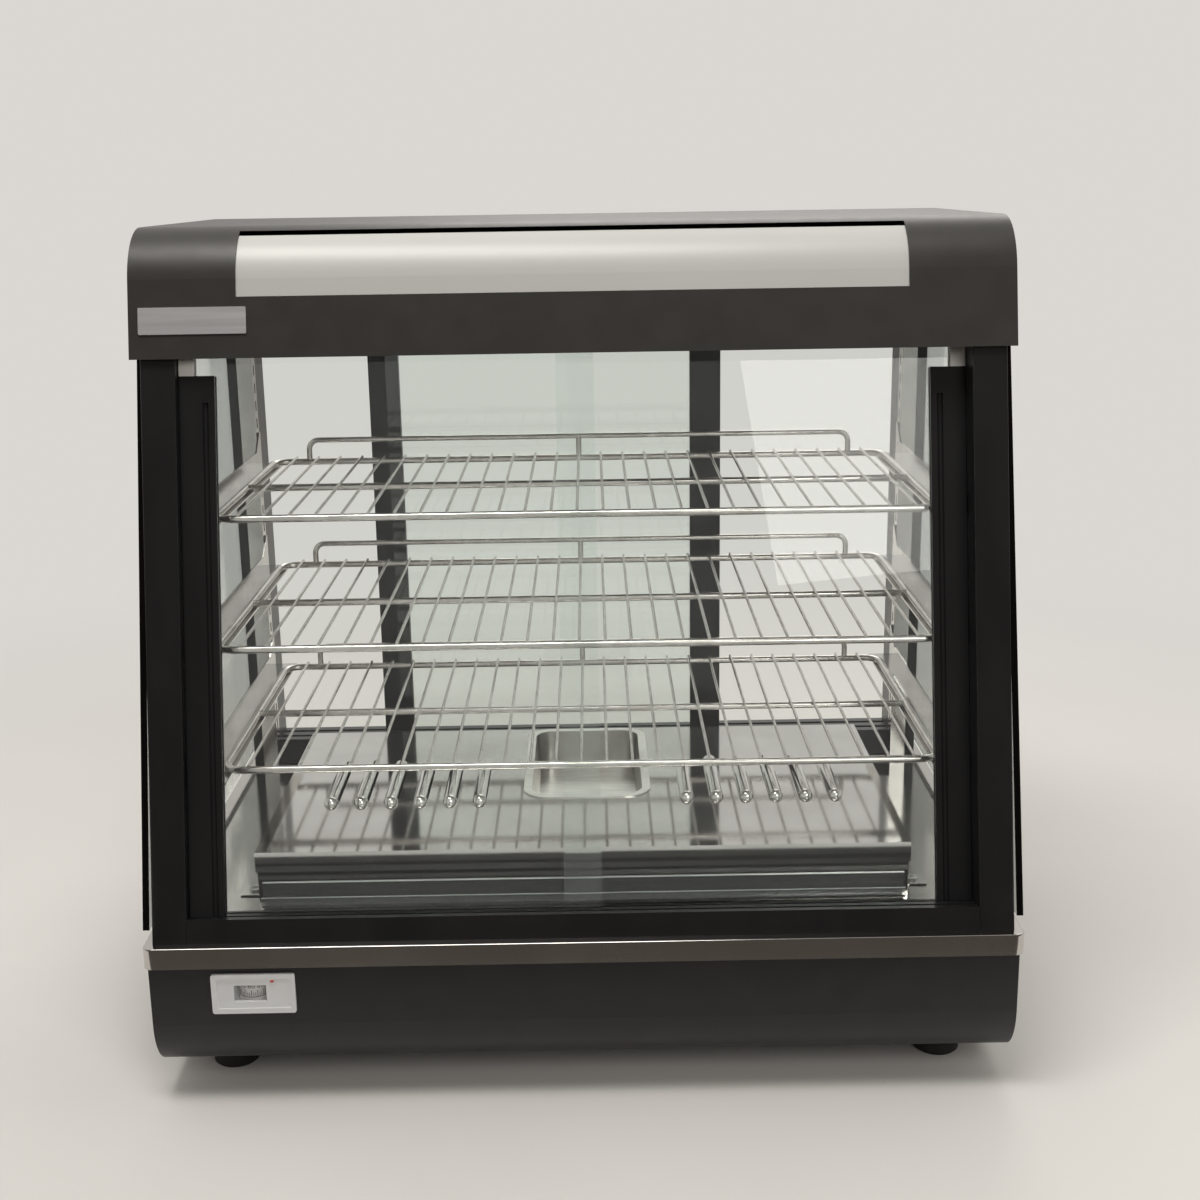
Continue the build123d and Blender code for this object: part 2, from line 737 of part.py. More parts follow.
# Deck lid: mirror sheet with a turned-down skirt, the pan cut-out and raised louvres
pan_body_width = pan_width - 2 * pan_rim
pan_body_length = pan_length - 2 * pan_rim
louvre_spots = [
    (side * (louvre_first_x + i * louvre_pitch), louvre_middle_y, deck_top)
    for side in (-1, 1)
    for i in range(louvre_count)
]
louvre_ends = [(x, y + end * louvre_length / 2, z) for x, y, z in louvre_spots for end in (-1, 1)]
louvre_inner_radius = louvre_radius - bright_sheet
with BuildPart() as deck_lid:
    upright_box(-deck_width / 2, deck_width / 2, deck_front_y, deck_front_y + deck_depth,
                deck_top - deck_skirt, deck_top)
    with Locations(*louvre_spots):
        Cylinder(louvre_radius, louvre_length, rotation=(90, 0, 0))
    with Locations(*louvre_ends):
        Sphere(louvre_radius)
    with BuildSketch(Plane.XY.offset(deck_top - deck_skirt)):
        with Locations((0, deck_middle_y)):
            Rectangle(wall_width + 2 * seat_clearance, wall_depth + 2 * seat_clearance)
    extrude(amount=deck_skirt - bright_sheet, mode=Mode.SUBTRACT)
    with BuildSketch(Plane.XY.offset(deck_top - 2 * bright_sheet)):
        with Locations((pan_middle_x, pan_middle_y)):
            RectangleRounded(pan_body_width + 2, pan_body_length + 2, pan_corner + 1)
    extrude(amount=4 * bright_sheet, mode=Mode.SUBTRACT)
    # Hollow of each louvre, and the slot along its outer side
    with Locations(*louvre_spots):
        Cylinder(louvre_inner_radius, louvre_length, rotation=(90, 0, 0), mode=Mode.SUBTRACT)
    with Locations(*louvre_ends):
        Sphere(louvre_inner_radius, mode=Mode.SUBTRACT)
    with Locations(*[(x + louvre_radius * louvre_mouth_shift, y, z + louvre_radius * louvre_mouth_lift) for x, y, z in louvre_spots]):
        Box(louvre_radius * louvre_mouth_width, louvre_length - louvre_mouth_margin, louvre_radius * louvre_mouth_height, mode=Mode.SUBTRACT)
deck_lid.part.label = "deck_lid"
export_step(deck_lid.part, "parts/deck_lid.step")

# Water pan: drawn stainless pan that drops into the deck and hangs by its rim
with BuildPart() as water_pan:
    with BuildSketch(Plane.XY.offset(deck_top)):
        with Locations((pan_middle_x, pan_middle_y)):
            RectangleRounded(pan_width, pan_length, pan_corner + pan_rim)
    extrude(amount=pan_sheet)
    with BuildSketch(Plane.XY.offset(deck_top)):
        with Locations((pan_middle_x, pan_middle_y)):
            RectangleRounded(pan_body_width, pan_body_length, pan_corner)
    extrude(amount=-pan_depth, taper=pan_taper)
    with BuildSketch(Plane.XY.offset(deck_top + pan_sheet)):
        with Locations((pan_middle_x, pan_middle_y)):
            RectangleRounded(pan_body_width - 2 * pan_sheet, pan_body_length - 2 * pan_sheet,
                             pan_corner - pan_sheet)
    extrude(amount=-pan_depth, taper=pan_taper, mode=Mode.SUBTRACT)
water_pan.part.label = "water_pan"
export_step(water_pan.part, "parts/water_pan.step")

# Ticket rail: clear strip in front of the deck base, with a ledge and a low front lip
ticket_z = band_top + ticket_lift
with BuildPart() as ticket_rail:
    upright_box(-ticket_width / 2, ticket_width / 2, deck_wall_y - ticket_sheet, deck_wall_y,
                ticket_z, ticket_z + ticket_height)
    upright_box(-ticket_width / 2, ticket_width / 2, deck_wall_y - ticket_sheet - ticket_shelf,
                deck_wall_y, ticket_z, ticket_z + ticket_sheet)
    upright_box(-ticket_width / 2, ticket_width / 2, deck_wall_y - 2 * ticket_sheet - ticket_shelf,
                deck_wall_y - ticket_sheet - ticket_shelf, ticket_z, ticket_z + ticket_lip)
ticket_rail.part.label = "ticket_rail"
export_step(ticket_rail.part, "parts/ticket_rail.step")


def heater(side):
    """Hairpin tubular element under one half of the deck, with its two tails down through the plate."""
    low = band_top - heater_tail
    high = band_top + heater_lift
    near = side * heater_inner_x
    far = side * heater_outer_x
    points = [
        (near, heater_rear_y, low),
        (near, heater_rear_y, high),
        (near, heater_front_y, high),
        (far, heater_front_y, high),
        (far, heater_rear_y, high),
        (far, heater_rear_y, low),
    ]
    with BuildPart() as element:
        with BuildLine():
            FilletPolyline(*points, radius=[heater_bend, heater_turn, heater_turn, heater_bend])
        with BuildSketch(Plane(origin=points[0], z_dir=(0, 0, 1))):
            Circle(heater_radius)
        sweep()
    return element


heater_left = heater(-1)
heater_left.part.label = "heater_left"
export_step(heater_left.part, "parts/heater_left.step")
heater_right = heater(1)
heater_right.part.label = "heater_right"
export_step(heater_right.part, "parts/heater_right.step")

# Heater brackets: upright strips on the plate, each holding both legs of a hairpin
bracket_length = heater_outer_x - heater_inner_x + 2 * bracket_margin
bracket_height = heater_lift + heater_radius + 5
heater_middle_x = (heater_inner_x + heater_outer_x) / 2
with BuildPart() as heater_brackets:
    for row in bracket_rows:
        for side in (-1, 1):
            with BuildSketch(Plane(origin=(side * heater_middle_x, row, band_top), x_dir=(1, 0, 0), z_dir=(0, -1, 0))):
                with Locations((0, bracket_height / 2)):
                    Rectangle(bracket_length, bracket_height)
                with Locations((0, heater_lift)):
                    with GridLocations(heater_outer_x - heater_inner_x, 1, 2, 1):
                        Circle(heater_radius + slide_clearance, mode=Mode.SUBTRACT)
                    Rectangle(bracket_length - 4 * bracket_margin, heater_lift * 0.5, mode=Mode.SUBTRACT)
            extrude(amount=bracket_sheet)
heater_brackets.part.label = "heater_brackets"
export_step(heater_brackets.part, "parts/heater_brackets.step")


def slant_top(inward):
    """Distance up the slant, at a given depth inwards, at which the frame's level top lies."""
    return (frame_top - band_top + inward * slant_sin) / slant_cos


def front_post(x):
    """Slanted hollow post, cut level at the plate and at the ceiling."""
    with BuildPart() as post:
        with BuildSketch(slant_plane(x)):
            with BuildLine():
                Polyline((0, 0), (front_zone, front_zone * slope), (front_zone, slant_top(front_zone)),
                         (0, slant_top(0)), close=True)
            make_face()
        extrude(amount=post_width)
        fillet(post.edges().filter_by(Axis((0, 0, 0), (0, slant_sin, slant_cos))), 1)
        with BuildSketch(slant_plane(x + post_wall)):
            with BuildLine():
                Polyline((post_wall, -cut_reach), (front_zone - post_wall, -cut_reach),
                         (front_zone - post_wall, slant_top(front_zone) + cut_reach),
                         (post_wall, slant_top(0) + cut_reach), close=True)
            make_face()
        extrude(amount=post_width - 2 * post_wall, mode=Mode.SUBTRACT)
    return post


front_post_left = front_post(-post_inner_x - post_width)
front_post_left.part.label = "front_post_left"
export_step(front_post_left.part, "parts/front_post_left.step")
front_post_right = front_post(post_inner_x)
front_post_right.part.label = "front_post_right"
export_step(front_post_right.part, "parts/front_post_right.step")

# Slanted rails between the front posts, with two door grooves each
front_groove = door_glass_sheet + 2 * glass_groove_clearance
with BuildPart() as front_bottom_rail:
    with BuildSketch(slant_plane(-post_inner_x)):
        with BuildLine():
            Polyline((0, 0), (front_zone, front_zone * slope), (front_zone, bottom_rail_height),
                     (0, bottom_rail_height), close=True)
        make_face()
        for track in front_track_depths:
            with Locations((track, bottom_rail_height - track_depth / 2)):
                Rectangle(front_groove, track_depth, mode=Mode.SUBTRACT)
    extrude(amount=2 * post_inner_x)
front_bottom_rail.part.label = "front_bottom_rail"
export_step(front_bottom_rail.part, "parts/front_bottom_rail.step")

with BuildPart() as front_top_rail:
    with BuildSketch(slant_plane(-post_inner_x)):
        with BuildLine():
            Polyline((0, top_rail_start), (front_zone, top_rail_start), (front_zone, slant_top(front_zone)),
                     (0, slant_top(0)), close=True)
        make_face()
        for track in front_track_depths:
            with Locations((track, top_rail_start + top_track_depth / 2)):
                Rectangle(front_groove, top_track_depth, mode=Mode.SUBTRACT)
    extrude(amount=2 * post_inner_x)
front_top_rail.part.label = "front_top_rail"
export_step(front_top_rail.part, "parts/front_top_rail.step")


def rear_post(x):
    """Upright hollow post at a rear corner."""
    with BuildPart() as post:
        upright_box(x, x + post_width, rear_front_y, rear_face_y, band_top, frame_top)
        fillet(post.edges().filter_by(Axis.Z), 1)
        upright_box(x + post_wall, x + post_width - post_wall, rear_front_y + post_wall,
                    rear_face_y - post_wall, band_top - 1, frame_top + 1, Mode.SUBTRACT)
    return post


rear_post_left = rear_post(-post_inner_x - post_width)
rear_post_left.part.label = "rear_post_left"
export_step(rear_post_left.part, "parts/rear_post_left.step")
rear_post_right = rear_post(post_inner_x)
rear_post_right.part.label = "rear_post_right"
export_step(rear_post_right.part, "parts/rear_post_right.step")

# Level rails between the rear posts, with two door grooves each
rear_rail_top = band_top + rear_rail_height
rear_rail_low = frame_top - rear_top_rail_height
with BuildPart() as rear_bottom_rail:
    upright_box(-post_inner_x, post_inner_x, rear_front_y, rear_face_y, band_top, rear_rail_top)
    for track in rear_track_depths:
        with Locations((0, rear_face_y - track, rear_rail_top)):
            Box(2 * post_inner_x, front_groove, 2 * track_depth, mode=Mode.SUBTRACT)
rear_bottom_rail.part.label = "rear_bottom_rail"
export_step(rear_bottom_rail.part, "parts/rear_bottom_rail.step")

with BuildPart() as rear_top_rail:
    upright_box(-post_inner_x, post_inner_x, rear_front_y, rear_face_y, rear_rail_low, frame_top)
    for track in rear_track_depths:
        with Locations((0, rear_face_y - track, rear_rail_low)):
            Box(2 * post_inner_x, front_groove, 2 * top_track_depth, mode=Mode.SUBTRACT)
rear_top_rail.part.label = "rear_top_rail"
export_step(rear_top_rail.part, "parts/rear_top_rail.step")


def side_glass(x):
    """Side pane: a trapezoid whose front edge leans back, standing clear of the plate."""
    lean = (frame_top - side_glass_foot_z) * tan(radians(side_glass_angle))
    with BuildPart() as pane:
        with BuildSketch(section_plane(x)):
            with BuildLine():
                Polyline((side_glass_foot_y, side_glass_foot_z), (side_glass_rear_y, side_glass_foot_z),
                         (side_glass_rear_y, frame_top), (side_glass_foot_y + lean, frame_top), close=True)
            make_face()
        extrude(amount=side_glass_sheet)
        chamfer(pane.edges().filter_by(Axis.Z), glass_edge)
    return pane


side_glass_left = side_glass(-glass_outer_x)
side_glass_left.part.label = "side_glass_left"
export_step(side_glass_left.part, "parts/side_glass_left.step")
side_glass_right = side_glass(frame_width / 2)
side_glass_right.part.label = "side_glass_right"
export_step(side_glass_right.part, "parts/side_glass_right.step")

# Slotted shelf strips: channels whose slotted webs face each other across the cabinet
slot_base = top_shelf_height + rail_slot_lift + slots_above * slot_pitch
slot_levels = [slot_base - i * slot_pitch for i in range(slots_above + 2 * slots_per_shelf + slots_below + 1)]
strip_middle = front_zone + strip_depth / 2


def front_strip_y(z):
    """Y of the middle of the slanted strip at a given height."""
    up = (z - band_top + strip_middle * slant_sin) / slant_cos
    return slant_point(strip_middle, up)[0]


rear_strip_y = rear_front_y - strip_depth / 2
strip_deep_end = front_zone + strip_depth
with BuildPart() as front_pilasters:
    for side in (-1, 1):
        outer_x = side * post_inner_x if side > 0 else side * post_inner_x - strip_width
        hollow_x = outer_x + strip_sheet if side > 0 else outer_x - 1
        with BuildSketch(slant_plane(outer_x)):
            with BuildLine():
                Polyline((front_zone, front_zone * slope), (strip_deep_end, strip_deep_end * slope),
                         (strip_deep_end, slant_top(strip_deep_end)), (front_zone, slant_top(front_zone)),
                         close=True)
            make_face()
        extrude(amount=strip_width)
        with BuildSketch(slant_plane(hollow_x)):
            with BuildLine():
                Polyline((front_zone + strip_sheet, -cut_reach), (strip_deep_end - strip_sheet, -cut_reach),
                         (strip_deep_end - strip_sheet, slant_top(strip_deep_end) + cut_reach),
                         (front_zone + strip_sheet, slant_top(front_zone) + cut_reach), close=True)
            make_face()
        extrude(amount=strip_width - strip_sheet + 1, mode=Mode.SUBTRACT)
    with Locations(*[(side * post_inner_x, front_strip_y(z), z) for side in (-1, 1) for z in slot_levels]):
        Box(4 * strip_sheet, slot_width, slot_height, mode=Mode.SUBTRACT)
front_pilasters.part.label = "front_pilasters"
export_step(front_pilasters.part, "parts/front_pilasters.step")

with BuildPart() as rear_pilasters:
    for side in (-1, 1):
        outer_x = side * post_inner_x if side > 0 else side * post_inner_x - strip_width
        hollow_x = outer_x + strip_sheet if side > 0 else outer_x - 1
        upright_box(outer_x, outer_x + strip_width, rear_front_y - strip_depth, rear_front_y,
                    band_top, frame_top)
        upright_box(hollow_x, hollow_x + strip_width - strip_sheet + 1, rear_front_y - strip_depth + strip_sheet,
                    rear_front_y - strip_sheet, band_top - 1, frame_top + 1, Mode.SUBTRACT)
    with Locations(*[(side * post_inner_x, rear_strip_y, z) for side in (-1, 1) for z in slot_levels]):
        Box(4 * strip_sheet, slot_width, slot_height, mode=Mode.SUBTRACT)
rear_pilasters.part.label = "rear_pilasters"
export_step(rear_pilasters.part, "parts/rear_pilasters.step")


def slope_y(height, setback):
    """Y of a point that stands behind the front frame's slanted face, at a given height."""
    return front_face_y + (height - band_top) * slope + setback


# Shelves: height, front and rear bar positions from top to bottom
middle_shelf_height = top_shelf_height - shelf_spacing
bottom_shelf_height = middle_shelf_height - shelf_spacing
shelf_places = {
    "top_shelf": (top_shelf_height, slope_y(top_shelf_height, top_shelf_setback), upper_shelf_rear_y),
    "middle_shelf": (middle_shelf_height, slope_y(middle_shelf_height, middle_shelf_setback), upper_shelf_rear_y),
    "bottom_shelf": (bottom_shelf_height, slope_y(bottom_shelf_height, bottom_shelf_setback), bottom_shelf_rear_y),
}
bar_x = shelf_width / 2 - bar_radius
wire_rise = bar_radius + thin_wire_radius - 0.4

# Shelf rails: hooked ledges between the slotted strips, one pair under each shelf
with BuildPart() as shelf_rails:
    for height, front_y, rear_y in shelf_places.values():
        ledge_z = height - bar_radius - slide_clearance
        rail_front = front_strip_y(height) - slot_width
        rail_rear = rear_strip_y + slot_width
        tongue_z = height + rail_slot_lift
        for side in (-1, 1):
            flange_in = side * (post_inner_x - rail_sheet)
            ledge_in = side * (post_inner_x - ledge_width)
            outer = side * post_inner_x
            upright_box(min(flange_in, outer), max(flange_in, outer), rail_front, rail_rear,
                        ledge_z - rail_sheet, height + rail_flange)
            upright_box(min(ledge_in, outer), max(ledge_in, outer), rail_front, rail_rear,
                        ledge_z - rail_sheet, ledge_z)
            with BuildSketch(section_plane(min(flange_in, outer))):
                with BuildLine():
                    Polyline((rail_rear, height), (rail_rear, height + rail_flange + hook_plate_rise),
                             (rail_rear - slot_width, height + rail_flange + hook_plate_rise),
                             (rail_rear - hook_plate_run, height + rail_flange),
                             (rail_rear - hook_plate_run, height), close=True)
                make_face()
            extrude(amount=rail_sheet)
            for hook_y in (front_strip_y(tongue_z), rear_strip_y):
                tongue_y = slot_width / 2 - slide_clearance
                upright_box(min(outer, outer + side * tongue_length), max(outer, outer + side * tongue_length),
                            hook_y - tongue_y, hook_y + tongue_y,
                            tongue_z - tongue_height / 2, tongue_z + tongue_height / 2)
shelf_rails.part.label = "shelf_rails"
export_step(shelf_rails.part, "parts/shelf_rails.step")


def wire_shelf(height, front_y, rear_y):
    """Welded wire shelf: round bar frame, middle bar, thin wires from front to rear and a back fence."""
    wire_span = rear_y - front_y
    half_span = wire_span / 2
    with BuildPart() as shelf:
        with Locations((0, 0, wire_rise)):
            with GridLocations(wire_pitch, 1, wire_count, 1):
                Cylinder(thin_wire_radius, wire_span + bar_radius, rotation=(90, 0, 0))
        Cylinder(bar_radius, 2 * bar_x, rotation=(0, 90, 0))
        with BuildLine() as loop:
            FilletPolyline((bar_x, -half_span), (bar_x, half_span), (-bar_x, half_span), (-bar_x, -half_span),
                           radius=shelf_corner, close=True)
        with BuildSketch(Plane(origin=loop.line @ 0, z_dir=loop.line % 0)):
            Circle(bar_radius)
        sweep()
        fence_base = bar_radius - fence_weld
        with BuildLine():
            FilletPolyline((-fence_width / 2, half_span, fence_base), (-fence_width / 2, half_span, fence_height),
                           (fence_width / 2, half_span, fence_height), (fence_width / 2, half_span, fence_base),
                           radius=fence_bend)
        with BuildSketch(Plane(origin=(-fence_width / 2, half_span, fence_base), z_dir=(0, 0, 1))):
            Circle(fence_wire_radius)
        sweep()
        with Locations((0, half_span, fence_height / 2)):
            Cylinder(fence_wire_radius, fence_height)
    return shelf.part.moved(Location((0, front_y + half_span, height)))


top_shelf = wire_shelf(*shelf_places["top_shelf"])
top_shelf.label = "top_shelf"
export_step(top_shelf, "parts/top_shelf.step")
middle_shelf = wire_shelf(*shelf_places["middle_shelf"])
middle_shelf.label = "middle_shelf"
export_step(middle_shelf, "parts/middle_shelf.step")
bottom_shelf = wire_shelf(*shelf_places["bottom_shelf"])
bottom_shelf.label = "bottom_shelf"
export_step(bottom_shelf, "parts/bottom_shelf.step")

# Sliding doors. The left door of each pair runs in the outer track, the right door in the inner one.
door_outer_x = post_inner_x - door_side_gap
door_inner_x = -door_overlap / 2
glass_outer_edge = door_outer_x - handle_cover
front_glass_foot = bottom_rail_height - track_depth + slide_clearance
front_handle_foot = bottom_rail_height + door_side_gap
guide_top = top_rail_start - door_side_gap


def mirrored_span(side, inner, outer):
    """Lowest and highest X of a span on one side of the middle."""
    ends = sorted((side * inner, side * outer))
    return ends[0], ends[1]


def slope_plane(up):
    """Plane across the slant at a given distance up it: local X is X, local Y runs inwards."""
    y, z = slant_point(0, up)
    return Plane(origin=(0, y, z), x_dir=(1, 0, 0), z_dir=(0, slant_sin, slant_cos))


def front_glass(side, track):
    """Front door pane on the slant."""
    low, high = mirrored_span(side, door_inner_x, glass_outer_edge)
    with BuildPart() as pane:
        with BuildSketch(slope_plane(front_glass_foot)):
            with Locations(((low + high) / 2, track)):
                Rectangle(high - low, door_glass_sheet)
        extrude(amount=front_glass_top - front_glass_foot)
    return pane


def front_handle(side, track):
    """Edge profile of a front door: a channel on the pane's outer edge with a finger groove."""
    low, high = mirrored_span(side, door_outer_x - handle_width, door_outer_x)
    glass_low, glass_high = mirrored_span(side, door_outer_x - handle_width - 1, glass_outer_edge)
    groove_x = side * (door_outer_x - handle_width + handle_groove)
    with BuildPart() as profile:
        with BuildSketch(slope_plane(front_handle_foot)):
            with Locations(((low + high) / 2, track)):
                Rectangle(high - low, handle_thickness)
        extrude(amount=handle_top - front_handle_foot)
        fillet(profile.edges().filter_by(Axis((0, 0, 0), (0, slant_sin, slant_cos))), 1)
        with BuildSketch(slope_plane(front_handle_foot)):
            with Locations(((glass_low + glass_high) / 2, track)):
                Rectangle(glass_high - glass_low, door_glass_sheet)
        extrude(amount=handle_top - front_handle_foot, mode=Mode.SUBTRACT)
        with BuildSketch(slope_plane(front_handle_foot)):
            with Locations((groove_x, track - handle_thickness / 2)):
                Circle(guide_hole_radius)
        extrude(amount=handle_top - front_handle_foot - handle_groove_end, mode=Mode.SUBTRACT)
    return profile


def front_guide(side, track):
    """Nylon guide on top of a front door's edge profile, wrapped round the pane's corner."""
    low, high = mirrored_span(side, door_outer_x - guide_width, door_outer_x)
    glass_low, glass_high = mirrored_span(side, door_outer_x - guide_width - 1, glass_outer_edge)
    with BuildPart() as block:
        with BuildSketch(slope_plane(handle_top)):
            with Locations(((low + high) / 2, track)):
                Rectangle(high - low, handle_thickness)
        extrude(amount=guide_top - handle_top)
        fillet(block.edges().filter_by(Axis((0, 0, 0), (0, slant_sin, slant_cos))), 1)
        with BuildSketch(slope_plane(handle_top)):
            with Locations(((glass_low + glass_high) / 2, track)):
                Rectangle(glass_high - glass_low, door_glass_sheet)
        extrude(amount=guide_top - handle_top, mode=Mode.SUBTRACT)
    return block


front_glass_left = front_glass(-1, front_track_depths[0])
front_glass_left.part.label = "front_glass_left"
export_step(front_glass_left.part, "parts/front_glass_left.step")
front_glass_right = front_glass(1, front_track_depths[1])
front_glass_right.part.label = "front_glass_right"
export_step(front_glass_right.part, "parts/front_glass_right.step")
front_handle_left = front_handle(-1, front_track_depths[0])
front_handle_left.part.label = "front_handle_left"
export_step(front_handle_left.part, "parts/front_handle_left.step")
front_handle_right = front_handle(1, front_track_depths[1])
front_handle_right.part.label = "front_handle_right"
export_step(front_handle_right.part, "parts/front_handle_right.step")
front_guide_left = front_guide(-1, front_track_depths[0])
front_guide_left.part.label = "front_guide_left"
export_step(front_guide_left.part, "parts/front_guide_left.step")
front_guide_right = front_guide(1, front_track_depths[1])
front_guide_right.part.label = "front_guide_right"
export_step(front_guide_right.part, "parts/front_guide_right.step")


def rear_glass(side, track, shift):
    """Rear door pane, upright, slid inwards from closed by the given shift."""
    low, high = mirrored_span(side, door_inner_x, glass_outer_edge)
    offset_x = -side * shift
    pane_y = rear_face_y - track
    with BuildPart() as pane:
        upright_box(low + offset_x, high + offset_x, pane_y - door_glass_sheet / 2, pane_y + door_glass_sheet / 2,
                    rear_rail_top - track_depth + slide_clearance, rear_rail_low + rear_glass_rise)
    return pane


def rear_handle(side, track, shift):
    """Edge profile of a rear door: a channel on the pane's outer edge with a finger groove."""
    low, high = mirrored_span(side, door_outer_x - rear_handle_width, door_outer_x)
    offset_x = -side * shift
    glass_low, glass_high = mirrored_span(side, door_outer_x - rear_handle_width - 1, glass_outer_edge)
    pane_y = rear_face_y - track
    bottom = rear_rail_top + door_side_gap
    top = rear_rail_low - door_side_gap
    with BuildPart() as profile:
        upright_box(low + offset_x, high + offset_x, pane_y - handle_thickness / 2, pane_y + handle_thickness / 2,
                    bottom, top)
        fillet(profile.edges().filter_by(Axis.Z), 1)
        upright_box(glass_low + offset_x, glass_high + offset_x, pane_y - door_glass_sheet / 2,
                    pane_y + door_glass_sheet / 2, bottom - 1, top + 1, Mode.SUBTRACT)
        with Locations(((low + high) / 2 + offset_x, pane_y + handle_thickness / 2, (bottom + top) / 2)):
            Cylinder(guide_hole_radius, (top - bottom) * 0.6, mode=Mode.SUBTRACT)
    return profile


rear_glass_left = rear_glass(-1, rear_track_depths[0], rear_left_shift)
rear_glass_left.part.label = "rear_glass_left"
export_step(rear_glass_left.part, "parts/rear_glass_left.step")
rear_glass_right = rear_glass(1, rear_track_depths[1], rear_right_shift)
rear_glass_right.part.label = "rear_glass_right"
export_step(rear_glass_right.part, "parts/rear_glass_right.step")
rear_handle_left = rear_handle(-1, rear_track_depths[0], rear_left_shift)
rear_handle_left.part.label = "rear_handle_left"
export_step(rear_handle_left.part, "parts/rear_handle_left.step")
rear_handle_right = rear_handle(1, rear_track_depths[1], rear_right_shift)
rear_handle_right.part.label = "rear_handle_right"
export_step(rear_handle_right.part, "parts/rear_handle_right.step")


def hood_skirt_y(z, inset=0.0):
    """Y of the hood's slanted front at a given height, on a surface inset from the outside."""
    return hood_front_y + (z - hood_bottom) * slope + inset / slant_cos


def hood_corners(inset, bottom):
    """Corner points of the hood's section, inset from the outside, open at the bottom."""
    top = overall_height - inset
    return [
        (hood_skirt_y(bottom, inset), bottom),
        (hood_skirt_y(top, inset), top),
        (hood_rear_y - inset, top),
        (hood_rear_y - inset, bottom),
    ]


def hood_section(inset, bottom):
    """Filled section of the hood, inset from the outside, drawn flat: X to the rear, Y up."""
    corners = hood_corners(inset, bottom)
    with BuildSketch() as section:
        with BuildLine():
            FilletPolyline(*corners, radius=[hood_nose_radius - inset, hood_rear_radius - inset])
            Line(corners[-1], corners[0])
        make_face()
    return section.sketch


# Hood: curved cover with closed ends, a slanted front skirt and the opening for the light panel
with BuildPart() as hood_shell:
    with BuildSketch(section_plane(-half_width)):
        add(hood_section(0, hood_bottom))
    extrude(amount=overall_width)
    with BuildSketch(section_plane(-half_width + steel_sheet)):
        add(hood_section(steel_sheet, hood_bottom - 1))
    extrude(amount=overall_width - 2 * steel_sheet, mode=Mode.SUBTRACT)
    upright_box(-light_width / 2, light_width / 2, hood_front_y - cut_reach, hood_skirt_y(overall_height) + 35,
                light_bottom, light_top, Mode.SUBTRACT)
    with Locations(*[(x, hood_rear_y, hood_screw_z) for x in hood_screw_xs]):
        Cylinder(hood_screw_radius / 2 + seat_clearance, 4 * steel_sheet, rotation=(90, 0, 0), mode=Mode.SUBTRACT)
hood_shell.part.label = "hood_shell"
export_step(hood_shell.part, "parts/hood_shell.step")

# Hood lining: ceiling plate on top of the frame, with turned-up edges and the light slot
lining_front_y = hood_skirt_y(frame_top + steel_sheet, steel_sheet) + seat_clearance
lining_rear_y = hood_rear_y - steel_sheet
lining_half = half_width - steel_sheet - seat_clearance
with BuildPart() as hood_lining:
    upright_box(-lining_half, lining_half, lining_front_y, lining_rear_y, frame_top, frame_top + steel_sheet)
    upright_box(-lining_half, lining_half, lining_rear_y - steel_sheet, lining_rear_y,
                frame_top, frame_top + lining_flange)
    with Locations((0, lamp_y, frame_top)):
        Box(ceiling_slot_width, ceiling_slot_depth, 4 * steel_sheet, mode=Mode.SUBTRACT)
    with Locations(*[(x, lining_rear_y, hood_screw_z) for x in hood_screw_xs]):
        Cylinder(hood_screw_radius / 2 + seat_clearance, 4 * steel_sheet, rotation=(90, 0, 0), mode=Mode.SUBTRACT)
hood_lining.part.label = "hood_lining"
export_step(hood_lining.part, "parts/hood_lining.step")

# Light panel: pale bent sheet behind the opening, its top edge a little below the opening's
with BuildPart() as light_panel:
    with BuildSketch(section_plane(-light_width / 2 - light_margin)):
        add(hood_section(steel_sheet, hood_bottom))
        add(hood_section(steel_sheet + light_sheet, hood_bottom), mode=Mode.SUBTRACT)
    extrude(amount=light_width + 2 * light_margin)
    upright_box(-half_width, half_width, hood_front_y - cut_reach, hood_rear_y + cut_reach,
                light_top - light_top_gap, overall_height + cut_reach, Mode.SUBTRACT)
    upright_box(-half_width, half_width, hood_front_y - cut_reach, hood_rear_y + cut_reach,
                hood_bottom - cut_reach, light_bottom - light_margin, Mode.SUBTRACT)
    upright_box(-half_width, half_width, hood_skirt_y(overall_height) + 60, hood_rear_y + cut_reach,
                hood_bottom - cut_reach, overall_height + cut_reach, Mode.SUBTRACT)
light_panel.part.label = "light_panel"
export_step(light_panel.part, "parts/light_panel.step")

# Lamp tube between its two holders on the ceiling plate
with BuildPart() as lamp_tube:
    with Locations((0, lamp_y, lamp_z)):
        Cylinder(lamp_tube_radius, lamp_tube_length, rotation=(0, 90, 0))
    fillet(lamp_tube.edges(), 1)
lamp_tube.part.label = "lamp_tube"
export_step(lamp_tube.part, "parts/lamp_tube.step")

holder_x = lamp_tube_length / 2 + holder_length / 2 - holder_grip
with BuildPart() as lamp_holders:
    for side in (-1, 1):
        with Locations((side * holder_x, lamp_y, (frame_top + steel_sheet + lamp_z) / 2 + lamp_tube_radius)):
            Box(holder_length, ceiling_slot_depth + 16, lamp_z - frame_top - steel_sheet + 2 * lamp_tube_radius)
    fillet(lamp_holders.edges().filter_by(Axis.X), holder_edge)
    with Locations((0, lamp_y, lamp_z)):
        Cylinder(lamp_tube_radius + seat_clearance, lamp_tube_length, rotation=(0, 90, 0), mode=Mode.SUBTRACT)
lamp_holders.part.label = "lamp_holders"
export_step(lamp_holders.part, "parts/lamp_holders.step")

